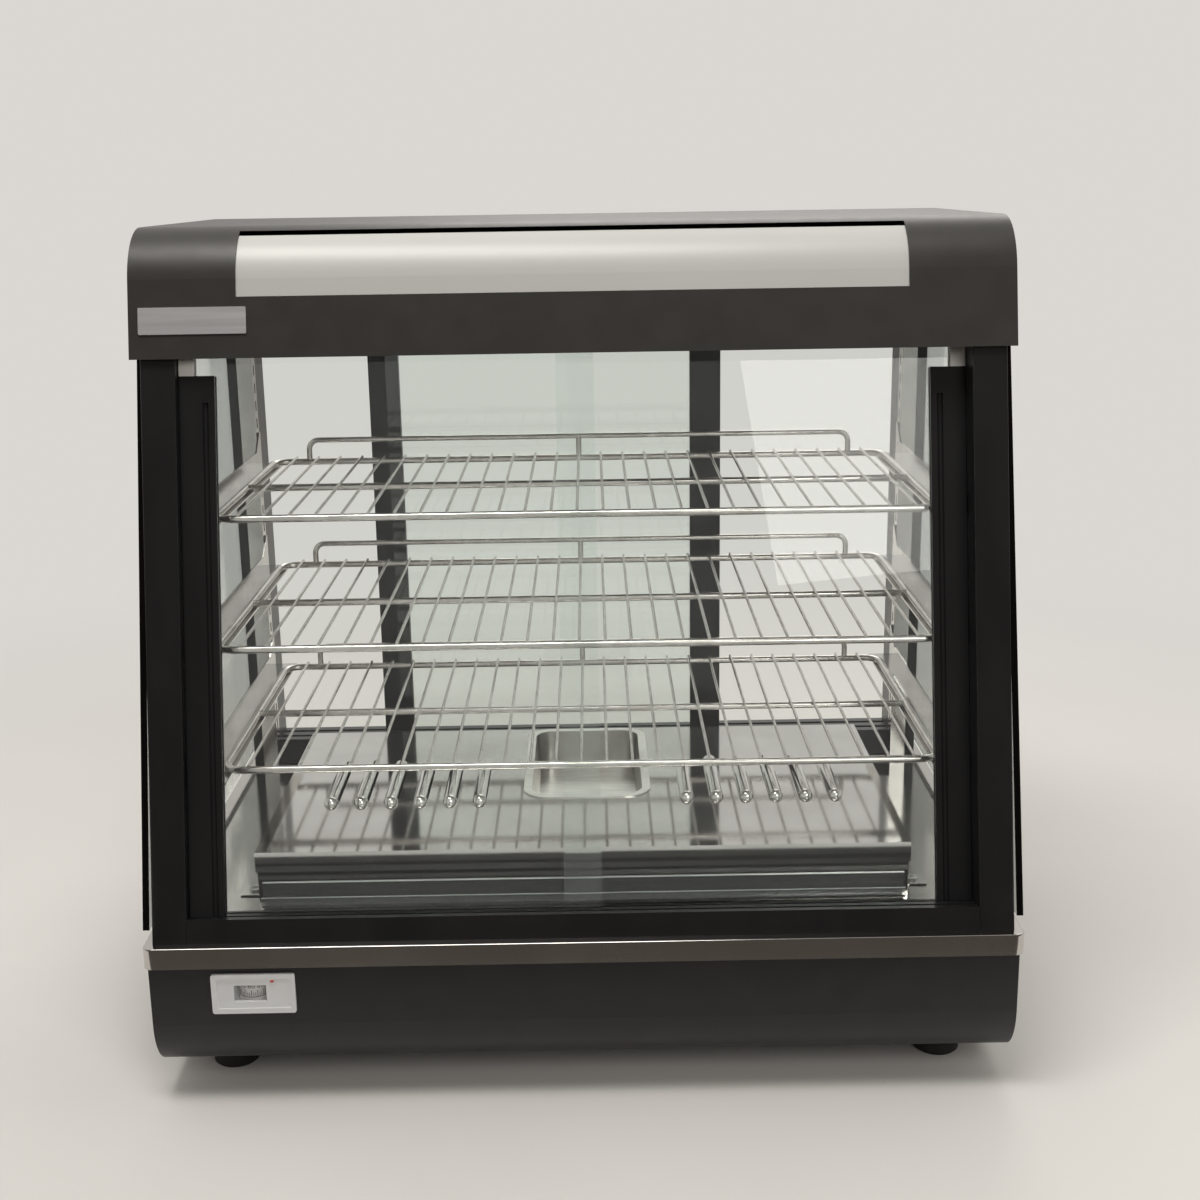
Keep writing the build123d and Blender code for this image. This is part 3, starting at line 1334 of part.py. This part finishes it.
# Bare badge plate on the slanted front of the hood
badge_origin = (badge_x, hood_skirt_y(badge_z), badge_z)
with BuildPart() as badge_plate:
    with BuildSketch(Plane(origin=badge_origin, x_dir=(1, 0, 0), z_dir=(0, -slant_cos, slant_sin))):
        RectangleRounded(badge_width, badge_height, badge_corner)
    extrude(amount=badge_sheet)
badge_plate.part.label = "badge_plate"
export_step(badge_plate.part, "parts/badge_plate.step")

# Screws that hold the hood to the ceiling plate at the rear
with BuildPart() as hood_screws:
    for x in hood_screw_xs:
        with BuildSketch(Plane(origin=(x, hood_rear_y, hood_screw_z), x_dir=(-1, 0, 0), z_dir=(0, 1, 0))):
            Circle(hood_screw_radius)
        extrude(amount=hood_screw_head)
        with BuildSketch(Plane(origin=(x, hood_rear_y, hood_screw_z), x_dir=(-1, 0, 0), z_dir=(0, 1, 0))):
            Circle(hood_screw_radius / 2)
        extrude(amount=-3 * steel_sheet)
hood_screws.part.label = "hood_screws"
export_step(hood_screws.part, "parts/hood_screws.step")
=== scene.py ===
import math
import bpy
from mathutils import Matrix, Vector


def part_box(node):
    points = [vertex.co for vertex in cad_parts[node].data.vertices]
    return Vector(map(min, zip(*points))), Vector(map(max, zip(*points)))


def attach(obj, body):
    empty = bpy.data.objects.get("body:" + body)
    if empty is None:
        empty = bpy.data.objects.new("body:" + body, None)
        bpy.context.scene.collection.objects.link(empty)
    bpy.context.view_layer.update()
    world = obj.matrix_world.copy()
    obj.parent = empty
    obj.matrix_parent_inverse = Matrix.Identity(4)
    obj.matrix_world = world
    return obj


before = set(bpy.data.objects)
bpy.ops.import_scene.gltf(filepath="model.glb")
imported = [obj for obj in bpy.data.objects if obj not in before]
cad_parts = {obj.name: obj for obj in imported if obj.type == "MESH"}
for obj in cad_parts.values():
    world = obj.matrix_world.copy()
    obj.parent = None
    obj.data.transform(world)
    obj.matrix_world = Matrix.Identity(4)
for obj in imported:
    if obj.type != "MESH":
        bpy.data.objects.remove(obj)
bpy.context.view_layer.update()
scene = bpy.context.scene
scene.view_settings.view_transform = "Standard"
MM = 0.001


# Camera at the photograph's viewing angle: turned, tipped and rolled by the fitted angles.
PHOTO_SIDE = 1200
FOCAL_PIXELS = 1629.1
SENSOR = 36.0
CAMERA_PLACE = Vector((12.2, -1334.7, 682.6)) * MM
pitch = math.radians(14.5)
yaw = math.radians(-0.2)
roll = math.radians(-0.9)
level_right = Vector((math.cos(yaw), math.sin(yaw), 0.0))
level_ahead = Vector((-math.sin(yaw), math.cos(yaw), 0.0))
up_axis = Vector((0.0, 0.0, 1.0))
ahead = level_ahead * math.cos(pitch) - up_axis * math.sin(pitch)
tipped_up = level_ahead * math.sin(pitch) + up_axis * math.cos(pitch)
right = level_right * math.cos(roll) + tipped_up * math.sin(roll)
up = tipped_up * math.cos(roll) - level_right * math.sin(roll)
camera_data = bpy.data.cameras.new("camera")
camera_data.sensor_width = SENSOR
camera_data.lens = SENSOR * FOCAL_PIXELS / PHOTO_SIDE
camera_data.clip_start = 0.02
camera_data.clip_end = 60.0
camera = bpy.data.objects.new("camera", camera_data)
scene.collection.objects.link(camera)
turn = Matrix((right, up, -ahead)).transposed().to_4x4()
camera.matrix_world = Matrix.Translation(CAMERA_PLACE) @ turn
scene.camera = camera


# Node helpers
EVEN = (1, 1, 1)
RAMP_START, RAMP_END = 0.3, 0.7
EDGE_START, EDGE_END = 0.45, 0.6
ROUGHNESS_SCALE, GRAIN_DETAIL = 1.7, 2.0
VEIL_SCALE, VEIL_SHADE = 60.0, 0.95
PLAIN_SCALE, PLAIN_SHADE, PLAIN_SPREAD = 80.0, 0.94, 0.08
GLASS_IOR = 1.45


def new_material(name):
    material = bpy.data.materials.new(name)
    material.use_nodes = True
    nodes = material.node_tree.nodes
    return material, nodes, material.node_tree.links, nodes["Principled BSDF"]


def mapped(nodes, links, stretch):
    place = nodes.new("ShaderNodeTexCoord")
    mapping = nodes.new("ShaderNodeMapping")
    mapping.inputs["Scale"].default_value = stretch
    links.new(place.outputs["Object"], mapping.inputs["Vector"])
    return mapping.outputs["Vector"]


def noise(nodes, links, vector, scale, detail=3.0):
    texture = nodes.new("ShaderNodeTexNoise")
    texture.inputs["Scale"].default_value = scale
    texture.inputs["Detail"].default_value = detail
    links.new(vector, texture.inputs["Vector"])
    return texture.outputs["Fac"]


def ramp(nodes, links, value, stops):
    node = nodes.new("ShaderNodeValToRGB")
    elements = node.color_ramp.elements
    while len(elements) < len(stops):
        elements.new(0.5)
    for element, (place, colour) in zip(elements, stops):
        element.position = place
        element.color = (*colour, 1.0)
    links.new(value, node.inputs["Fac"])
    return node.outputs["Color"]


def ranged(nodes, links, value, low, high, start=0.0, end=1.0):
    """A value between start and end, spread over low to high."""
    node = nodes.new("ShaderNodeMapRange")
    node.inputs["From Min"].default_value = start
    node.inputs["From Max"].default_value = end
    node.inputs["To Min"].default_value = low
    node.inputs["To Max"].default_value = high
    links.new(value, node.inputs["Value"])
    return node.outputs["Result"]


def bump(nodes, links, shader, value, strength, distance):
    node = nodes.new("ShaderNodeBump")
    node.inputs["Strength"].default_value = strength
    node.inputs["Distance"].default_value = distance
    links.new(value, node.inputs["Height"])
    links.new(node.outputs["Normal"], shader.inputs["Normal"])


def either(nodes, links, first, second):
    """The larger of two values, such as two Light Path answers."""
    node = nodes.new("ShaderNodeMath")
    node.operation = "MAXIMUM"
    links.new(first, node.inputs[0])
    links.new(second, node.inputs[1])
    return node.outputs["Value"]


def finish(name, dark, pale, rough, metal=0.0, stretch=EVEN, scale=40.0, grain=900.0,
           grain_depth=0.00003, grain_strength=0.15, coat=0.0):
    """A surface whose colour and roughness drift over a few centimetres, with a fine grain on top."""
    material, nodes, links, shader = new_material(name)
    vector = mapped(nodes, links, stretch)
    drift = noise(nodes, links, vector, scale)
    links.new(ramp(nodes, links, drift, ((RAMP_START, dark), (RAMP_END, pale))), shader.inputs["Base Color"])
    links.new(ranged(nodes, links, noise(nodes, links, vector, scale * ROUGHNESS_SCALE), rough[0], rough[1]),
              shader.inputs["Roughness"])
    if grain_strength:
        fine = noise(nodes, links, vector, grain, GRAIN_DETAIL)
        bump(nodes, links, shader, fine, grain_strength, grain_depth)
    shader.inputs["Metallic"].default_value = metal
    shader.inputs["Coat Weight"].default_value = coat
    return material


def clear(name, other_colour, side_colour, rough=0.0, through=1.0):
    """Glass or clear plastic. What faces left or right has the side colour, and the rest has the other: one
    is that of the faces, nearly colourless, and one that of the cut edges, deep green or grey."""
    material, nodes, links, shader = new_material(name)
    place = nodes.new("ShaderNodeTexCoord")
    split = nodes.new("ShaderNodeSeparateXYZ")
    links.new(place.outputs["Normal"], split.inputs["Vector"])
    size = nodes.new("ShaderNodeMath")
    size.operation = "ABSOLUTE"
    links.new(split.outputs["X"], size.inputs[0])
    stops = ((EDGE_START, other_colour), (EDGE_END, side_colour))
    links.new(ramp(nodes, links, size.outputs["Value"], stops), shader.inputs["Base Color"])
    shader.inputs["Transmission Weight"].default_value = through
    shader.inputs["Roughness"].default_value = rough
    shader.inputs["IOR"].default_value = GLASS_IOR
    return material


def thin_clear(name, colour, cover, rough):
    """A thin clear skin, laid over what it covers as a faint veil with a gloss."""
    material, nodes, links, shader = new_material(name)
    drift = noise(nodes, links, mapped(nodes, links, EVEN), VEIL_SCALE)
    stops = ((RAMP_START, tuple(VEIL_SHADE * c for c in colour)), (RAMP_END, colour))
    links.new(ramp(nodes, links, drift, stops), shader.inputs["Base Color"])
    shader.inputs["Alpha"].default_value = cover
    shader.inputs["Roughness"].default_value = rough
    return material


def plain(name, colour, rough):
    """A print, or a painted highlight along an edge: one colour with hardly any drift, and no grain."""
    return finish(name, tuple(PLAIN_SHADE * c for c in colour), colour, (rough, rough + PLAIN_SPREAD),
                  scale=PLAIN_SCALE, grain_strength=0.0)


black_paint = finish("black_satin_paint", (0.0105, 0.0105, 0.0115), (0.0145, 0.0145, 0.0155), (0.36, 0.46))
frame_black = finish("black_anodised_frame", (0.0095, 0.0095, 0.0105), (0.014, 0.014, 0.015), (0.30, 0.42),
                     stretch=(1, 1, 0.15), grain=500.0)
hood_paint = finish("dark_hood_paint", (0.033, 0.0315, 0.029), (0.040, 0.038, 0.035), (0.38, 0.48))
mirror_steel = finish("mirror_steel", (0.60, 0.585, 0.57), (0.70, 0.69, 0.675), (0.05, 0.11), metal=1.0,
                      scale=14.0, grain=30.0, grain_depth=0.0004, grain_strength=0.02)
bright_steel = finish("bright_steel", (0.56, 0.545, 0.53), (0.67, 0.66, 0.645), (0.10, 0.20), metal=1.0,
                      scale=25.0, grain=60.0, grain_depth=0.0003, grain_strength=0.03)
band_steel = finish("trim_band_steel", (0.50, 0.48, 0.46), (0.60, 0.58, 0.565), (0.07, 0.14), metal=1.0,
                    scale=9.0, grain=14.0, grain_depth=0.001, grain_strength=0.05)
wire_chrome = finish("wire_chrome", (0.50, 0.475, 0.45), (0.62, 0.60, 0.58), (0.16, 0.30), metal=1.0,
                     scale=60.0, grain=300.0)
pan_steel = finish("pan_steel", (0.58, 0.565, 0.54), (0.70, 0.69, 0.665), (0.24, 0.36), metal=1.0,
                   stretch=(1, 6, 1), scale=40.0, grain=400.0)
zinc_steel = finish("zinc_steel", (0.42, 0.42, 0.41), (0.55, 0.55, 0.54), (0.32, 0.5), metal=1.0, scale=60.0)
badge_metal = finish("brushed_badge", (0.50, 0.50, 0.51), (0.64, 0.64, 0.65), (0.38, 0.5), metal=0.45,
                     stretch=(0.1, 3, 3), scale=60.0, grain=500.0)
heater_sheath = finish("heater_sheath", (0.16, 0.14, 0.125), (0.28, 0.26, 0.245), (0.38, 0.55), metal=1.0,
                       scale=50.0)
white_plastic = finish("white_plastic", (0.74, 0.755, 0.77), (0.78, 0.79, 0.80), (0.26, 0.34), scale=30.0)
dial_white = finish("dial_white", (0.78, 0.78, 0.76), (0.82, 0.82, 0.80), (0.5, 0.6), scale=60.0)
nylon = finish("white_nylon", (0.70, 0.69, 0.65), (0.78, 0.77, 0.73), (0.42, 0.55), scale=60.0)
black_plastic = finish("black_plastic", (0.012, 0.012, 0.012), (0.02, 0.02, 0.02), (0.35, 0.5), scale=60.0)
rubber = finish("rubber", (0.012, 0.012, 0.012), (0.022, 0.021, 0.02), (0.7, 0.85), scale=80.0)
amber = finish("amber_lens", (0.72, 0.13, 0.02), (0.86, 0.20, 0.035), (0.12, 0.2), scale=30.0, coat=0.3)
light_acrylic = finish("light_acrylic", (0.54, 0.545, 0.525), (0.575, 0.58, 0.555), (0.30, 0.38), scale=6.0,
                       grain_strength=0.0)
lamp_white = finish("lamp_glass", (0.86, 0.87, 0.87), (0.90, 0.91, 0.91), (0.15, 0.25), scale=20.0)
door_glass = clear("door_glass", (0.94, 0.965, 0.95), (0.10, 0.22, 0.17))
side_glass = clear("side_glass", (0.03, 0.13, 0.085), (0.93, 0.96, 0.945))
gauge_window = thin_clear("gauge_window", (0.86, 0.87, 0.88), cover=0.14, rough=0.06)
clear_plastic = clear("clear_plastic", (0.95, 0.96, 0.965), (0.55, 0.58, 0.60), rough=0.04, through=0.92)

looks = {
    "base_shell": black_paint, "control_panel": black_paint, "hood_shell": hood_paint,
    "bottom_plate": zinc_steel, "feet": rubber, "foot_screws": zinc_steel,
    "thermostat_body": black_plastic, "thermostat_knob": black_plastic, "power_switch_body": black_plastic,
    "light_switch_body": black_plastic, "light_rocker": black_plastic, "power_rocker": amber,
    "pilot_lamp": amber, "cable_gland": black_plastic, "terminal_block": white_plastic,
    "thermometer_case": white_plastic, "thermometer_dial": dial_white, "thermometer_window": gauge_window,
    "trim_plate": band_steel, "deck_base": mirror_steel, "deck_lid": mirror_steel, "deck_screws": zinc_steel,
    "water_pan": pan_steel, "ticket_rail": clear_plastic, "heater_left": heater_sheath,
    "heater_right": heater_sheath, "heater_brackets": zinc_steel, "front_pilasters": bright_steel,
    "rear_pilasters": bright_steel, "side_glass_left": side_glass, "side_glass_right": side_glass,
    "shelf_rails": bright_steel, "top_shelf": wire_chrome, "middle_shelf": wire_chrome,
    "bottom_shelf": wire_chrome, "front_glass_left": door_glass, "front_glass_right": door_glass,
    "rear_glass_left": door_glass, "rear_glass_right": door_glass, "front_guide_left": nylon,
    "front_guide_right": nylon, "hood_lining": bright_steel, "light_panel": light_acrylic,
    "lamp_tube": lamp_white, "lamp_holders": white_plastic, "badge_plate": badge_metal,
    "hood_screws": zinc_steel,
}
for end in ("left", "right"):
    for node in ("front_post_", "rear_post_", "front_handle_", "rear_handle_"):
        looks[node + end] = frame_black
for node in ("front_bottom_rail", "front_top_rail", "rear_bottom_rail", "rear_top_rail"):
    looks[node] = frame_black
for node, material in looks.items():
    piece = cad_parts[node]
    if not piece.material_slots:
        piece.data.materials.append(material)
    for place in piece.material_slots:
        place.material = material


# Added details
def add_piece(name, data, material, body, place=None):
    """A piece of the scene alone, put in place and then tied to the CAD body that it rides on."""
    piece = bpy.data.objects.new(name, data)
    scene.collection.objects.link(piece)
    piece.data.materials.append(material)
    if place is not None:
        piece.matrix_world = place
    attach(piece, body)


def add_mesh(name, vertices, faces, material, body):
    mesh = bpy.data.meshes.new(name)
    mesh.from_pydata(vertices, [], faces)
    add_piece(name, mesh, material, body)


def add_figure(name, words, size, rise, axes, point, material, body):
    """A plain number, set flat on a surface: axes are its reading direction, its up and its outward side."""
    text = bpy.data.curves.new(name, "FONT")
    text.body = words
    text.size = size
    text.align_x = "CENTER"
    text.align_y = rise
    text.resolution_u = 3
    spin = Matrix(axes).transposed().to_4x4()
    add_piece(name, text, material, body, place=Matrix.Translation(point) @ spin)


def box_mesh(name, low, high):
    mesh = bpy.data.meshes.new(name)
    (x0, y0, z0), (x1, y1, z1) = low, high
    corners = [(x, y, z) for z in (z0, z1) for x, y in ((x0, y0), (x1, y0), (x1, y1), (x0, y1))]
    sides = [(0, 3, 2, 1), (4, 5, 6, 7), (0, 1, 5, 4), (1, 2, 6, 5), (2, 3, 7, 6), (3, 0, 4, 7)]
    mesh.from_pydata(corners, [], sides)
    return mesh


# Thermometer drum: scale marks and plain numbers, round the part of the drum behind the window
ink = plain("dial_ink", (0.012, 0.012, 0.014), rough=0.5)
red_ink = plain("dial_red", (0.62, 0.03, 0.02), rough=0.45)
drum_low, drum_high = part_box("thermometer_dial")
drum_centre = (drum_low + drum_high) / 2
PRINT_LIFT = 0.08 * MM
FIGURE_LIFT = 0.1 * MM
mark_radius = (drum_high.x - drum_low.x) / 2 + PRINT_LIFT
DRUM_SCALE_DROP = 5.2 * MM
DRUM_LINE = 0.7 * MM
DRUM_FIGURE_RISE = 5.8 * MM
DRUM_FIGURE_SIZE = 5.8 * MM
LONG_MARK, SHORT_MARK = 5.2 * MM, 3.4 * MM
DRUM_MARKS_EACH_WAY, LONG_EVERY = 12, 3
MARK_STEP, MARK_HALF = math.radians(8.0), 0.03
LINE_END, LINE_STEPS = math.radians(97), 24
FIRST_FIGURE, FIGURE_STEP = -72, 36


def drum_point(angle, z, radius=mark_radius):
    """A point on the drum; angle 0 faces the customer."""
    return Vector((drum_centre.x + radius * math.sin(angle), drum_centre.y - radius * math.cos(angle), z))


def drum_patch(vertices, faces, left, right_edge, bottom, top, steps):
    start = len(vertices)
    for step in range(steps + 1):
        angle = left + (right_edge - left) * step / steps
        vertices.extend((drum_point(angle, bottom), drum_point(angle, top)))
    for step in range(steps):
        corner = start + 2 * step
        faces.append((corner, corner + 2, corner + 3, corner + 1))


vertices, faces = [], []
scale_z = drum_centre.z - DRUM_SCALE_DROP
for count in range(-DRUM_MARKS_EACH_WAY, DRUM_MARKS_EACH_WAY + 1):
    angle = count * MARK_STEP
    tall = LONG_MARK if count % LONG_EVERY == 0 else SHORT_MARK
    drum_patch(vertices, faces, angle - MARK_HALF, angle + MARK_HALF, scale_z, scale_z + tall, 1)
drum_patch(vertices, faces, -LINE_END, LINE_END, scale_z - DRUM_LINE, scale_z, LINE_STEPS)
add_mesh("dial_marks", vertices, faces, ink, "dial_body")

for count, figure in enumerate(("20", "40", "60", "80", "100")):
    angle = math.radians(FIRST_FIGURE + FIGURE_STEP * count)
    outward = Vector((math.sin(angle), -math.cos(angle), 0))
    along = Vector((math.cos(angle), math.sin(angle), 0))
    point = drum_point(angle, scale_z + DRUM_FIGURE_RISE, mark_radius + FIGURE_LIFT)
    add_figure("dial_figure_" + figure, figure, DRUM_FIGURE_SIZE, "BOTTOM", (along, up_axis, outward), point,
               ink, "dial_body")


# Thermostat: pointer line on the knob, scale marks and plain numbers round it on the rear panel
print_white = plain("print_white", (0.72, 0.72, 0.70), rough=0.5)
knob_low, knob_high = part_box("thermostat_knob")
knob_x, knob_z = (knob_low.x + knob_high.x) / 2, (knob_low.z + knob_high.z) / 2
knob_radius = (knob_high.x - knob_low.x) / 2
panel_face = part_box("control_panel")[1].y + FIGURE_LIFT
START, SWEEP, FIGURES = -135.0, 270.0, 10
POINTER_START, POINTER_END = 0.35, 0.86
POINTER_WIDTH, POINTER_LIFT = 1.8 * MM, 0.05 * MM
KNOB_MARK_START, KNOB_MARK_END, KNOB_MARK_WIDTH = 2.5 * MM, 5.5 * MM, 0.9 * MM
KNOB_FIGURE_GAP, KNOB_FIGURE_SIZE = 9.5 * MM, 5.5 * MM


def round_knob(angle, radius, y):
    """A point round the knob; the angle runs clockwise from the top, as seen from the rear."""
    return Vector((knob_x - radius * math.sin(angle), y, knob_z + radius * math.cos(angle)))


def radial_mark(vertices, faces, angle, inner, outer, width, y):
    start = len(vertices)
    across = Vector((-math.cos(angle), 0, -math.sin(angle))) * (width / 2)
    near, far = round_knob(angle, inner, y), round_knob(angle, outer, y)
    vertices.extend((near - across, near + across, far + across, far - across))
    faces.append((start, start + 1, start + 2, start + 3))


vertices, faces = [], []
radial_mark(vertices, faces, math.radians(START), POINTER_START * knob_radius, POINTER_END * knob_radius,
            POINTER_WIDTH, knob_high.y + POINTER_LIFT)
add_mesh("knob_pointer", vertices, faces, print_white, "thermostat_knob_body")
vertices, faces = [], []
for count in range(FIGURES + 1):
    angle = math.radians(START + SWEEP * count / FIGURES)
    radial_mark(vertices, faces, angle, knob_radius + KNOB_MARK_START, knob_radius + KNOB_MARK_END,
                KNOB_MARK_WIDTH, panel_face)
    point = round_knob(angle, knob_radius + KNOB_FIGURE_GAP, panel_face)
    add_figure("knob_figure_%d" % count, str(count), KNOB_FIGURE_SIZE, "CENTER",
               ((-1, 0, 0), up_axis, (0, 1, 0)), point, print_white, "cabinet")
add_mesh("knob_scale", vertices, faces, print_white, "cabinet")


# Ticket rail: thin pale strips on the upper edges of its back and its lip. They are a painted highlight,
# standing in for the glints those edges catch from the light
# A plain pale colour, not a real polish: painted highlight along the rail's top edges
painted_highlight_edge = plain("painted_highlight_edge", (0.80, 0.82, 0.83), rough=0.12)
rail_low, rail_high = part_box("ticket_rail")
RAIL_SHEET, LIP_RISE, EDGE_DEPTH, EDGE_PROUD = 1.5 * MM, 8 * MM, 0.3 * MM, 0.05 * MM
for name, near, far, top in (
    ("ticket_back_painted_highlight", rail_high.y - RAIL_SHEET, rail_high.y, rail_high.z),
    ("ticket_lip_painted_highlight", rail_low.y, rail_low.y + RAIL_SHEET, rail_low.z + LIP_RISE),
):
    edge_mesh = box_mesh(name, (rail_low.x, near, top - EDGE_DEPTH), (rail_high.x, far, top + EDGE_PROUD))
    add_piece(name, edge_mesh, painted_highlight_edge, "cabinet")


# Thermometer: small red mark, placed from the window's right side and the top and front of the case
case_low, case_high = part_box("thermometer_case")
window_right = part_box("thermometer_window")[1].x
MARK_LEFT, MARK_RIGHT = 3.5 * MM, 6.2 * MM
MARK_LOW, MARK_HIGH = 6.5 * MM, 5.1 * MM
MARK_PROUD, MARK_SUNK = 0.05 * MM, 0.2 * MM
red_mark = box_mesh(
    "red_mark",
    (window_right + MARK_LEFT, case_low.y - MARK_PROUD, case_high.z - MARK_LOW),
    (window_right + MARK_RIGHT, case_low.y + MARK_SUNK, case_high.z - MARK_HIGH),
)
add_piece("red_mark", red_mark, red_ink, "cabinet")


# Floor: a plain pale table top that fades into the pale surroundings
PALE = (0.70, 0.68, 0.65)
SIDE_REACH, FRONT_EDGE, REAR_REACH = 6.0, -0.42, 9.0
CLOTH_DARK, CLOTH_PALE, CLOTH_SCALE = (0.71, 0.695, 0.67), (0.74, 0.725, 0.70), 3.0
FADE_START, FADE_END = 0.55, 1.7
floor_mesh = bpy.data.meshes.new("floor")
floor_corners = [(-SIDE_REACH, FRONT_EDGE, 0), (SIDE_REACH, FRONT_EDGE, 0), (SIDE_REACH, REAR_REACH, 0),
                 (-SIDE_REACH, REAR_REACH, 0)]
floor_mesh.from_pydata(floor_corners, [], [(0, 1, 2, 3)])
floor = bpy.data.objects.new("floor", floor_mesh)
scene.collection.objects.link(floor)
floor_material, nodes, links, shader = new_material("pale_floor")
vector = mapped(nodes, links, EVEN)
drift = noise(nodes, links, vector, CLOTH_SCALE)
cloth = ramp(nodes, links, drift, ((RAMP_START, CLOTH_DARK), (RAMP_END, CLOTH_PALE)))
links.new(cloth, shader.inputs["Base Color"])
shader.inputs["Roughness"].default_value = 0.9
shader.inputs["Specular IOR Level"].default_value = 0.1
distance = nodes.new("ShaderNodeVectorMath")
distance.operation = "LENGTH"
links.new(vector, distance.inputs[0])
fade = nodes.new("ShaderNodeMapRange")
fade.interpolation_type = "SMOOTHSTEP"
fade.inputs["From Min"].default_value = FADE_START
fade.inputs["From Max"].default_value = FADE_END
links.new(distance.outputs["Value"], fade.inputs["Value"])
path = nodes.new("ShaderNodeLightPath")
seen = either(nodes, links, path.outputs["Is Camera Ray"], path.outputs["Is Transmission Ray"])
share = nodes.new("ShaderNodeMath")
share.operation = "MULTIPLY"
links.new(fade.outputs["Result"], share.inputs[0])
links.new(seen, share.inputs[1])
pale_light = nodes.new("ShaderNodeEmission")
pale_light.inputs["Color"].default_value = (*PALE, 1)
blend = nodes.new("ShaderNodeMixShader")
links.new(share.outputs["Value"], blend.inputs["Fac"])
links.new(shader.outputs["BSDF"], blend.inputs[1])
links.new(pale_light.outputs["Emission"], blend.inputs[2])
links.new(blend.outputs["Shader"], nodes["Material Output"].inputs["Surface"])
floor.data.materials.append(floor_material)


# World: in metal and paint, a pale wall to the rear and a dimmer room to the front; pale for the camera
DIM_ROOM = (0.10, 0.088, 0.076)
DIM_UP_TO, PALE_FROM = -0.55, 0.25
world = bpy.data.worlds.new("room")
scene.world = world
world.use_nodes = True
nodes, links = world.node_tree.nodes, world.node_tree.links
background = nodes["Background"]
place = nodes.new("ShaderNodeTexCoord")
split = nodes.new("ShaderNodeSeparateXYZ")
links.new(place.outputs["Generated"], split.inputs["Vector"])
towards_rear = ranged(nodes, links, split.outputs["Y"], 0.0, 1.0, DIM_UP_TO, PALE_FROM)
room = ramp(nodes, links, towards_rear, ((0.0, DIM_ROOM), (1.0, PALE)))
path = nodes.new("ShaderNodeLightPath")
mix = nodes.new("ShaderNodeMix")
mix.data_type = "RGBA"
seen = either(nodes, links, path.outputs["Is Camera Ray"], path.outputs["Is Transmission Ray"])
links.new(seen, mix.inputs["Factor"])
links.new(room, mix.inputs["A"])
mix.inputs["B"].default_value = (*PALE, 1)
links.new(mix.outputs["Result"], background.inputs["Color"])


# Soft lamps, aimed at the middle of the cabinet
LAMP_COLOUR = (1.0, 0.97, 0.93)
AIM = Vector((0, 0, 0.3))


def lamp(name, place, width, height, power):
    data = bpy.data.lights.new(name, "AREA")
    data.shape = "RECTANGLE"
    data.size = width
    data.size_y = height
    data.energy = power
    data.color = LAMP_COLOUR
    item = bpy.data.objects.new(name, data)
    scene.collection.objects.link(item)
    item.location = place
    item.rotation_euler = (AIM - Vector(place)).to_track_quat("-Z", "Y").to_euler()
    return item


lamp("ceiling_light", (-0.35, -0.7, 2.5), width=1.3, height=0.7, power=30)
front_light = lamp("front_light", (0.9, -2.2, 1.5), width=1.2, height=1.2, power=20)
front_light.visible_glossy = False
lamp("rear_light", (0.4, 1.9, 1.9), width=1.6, height=1.2, power=16)
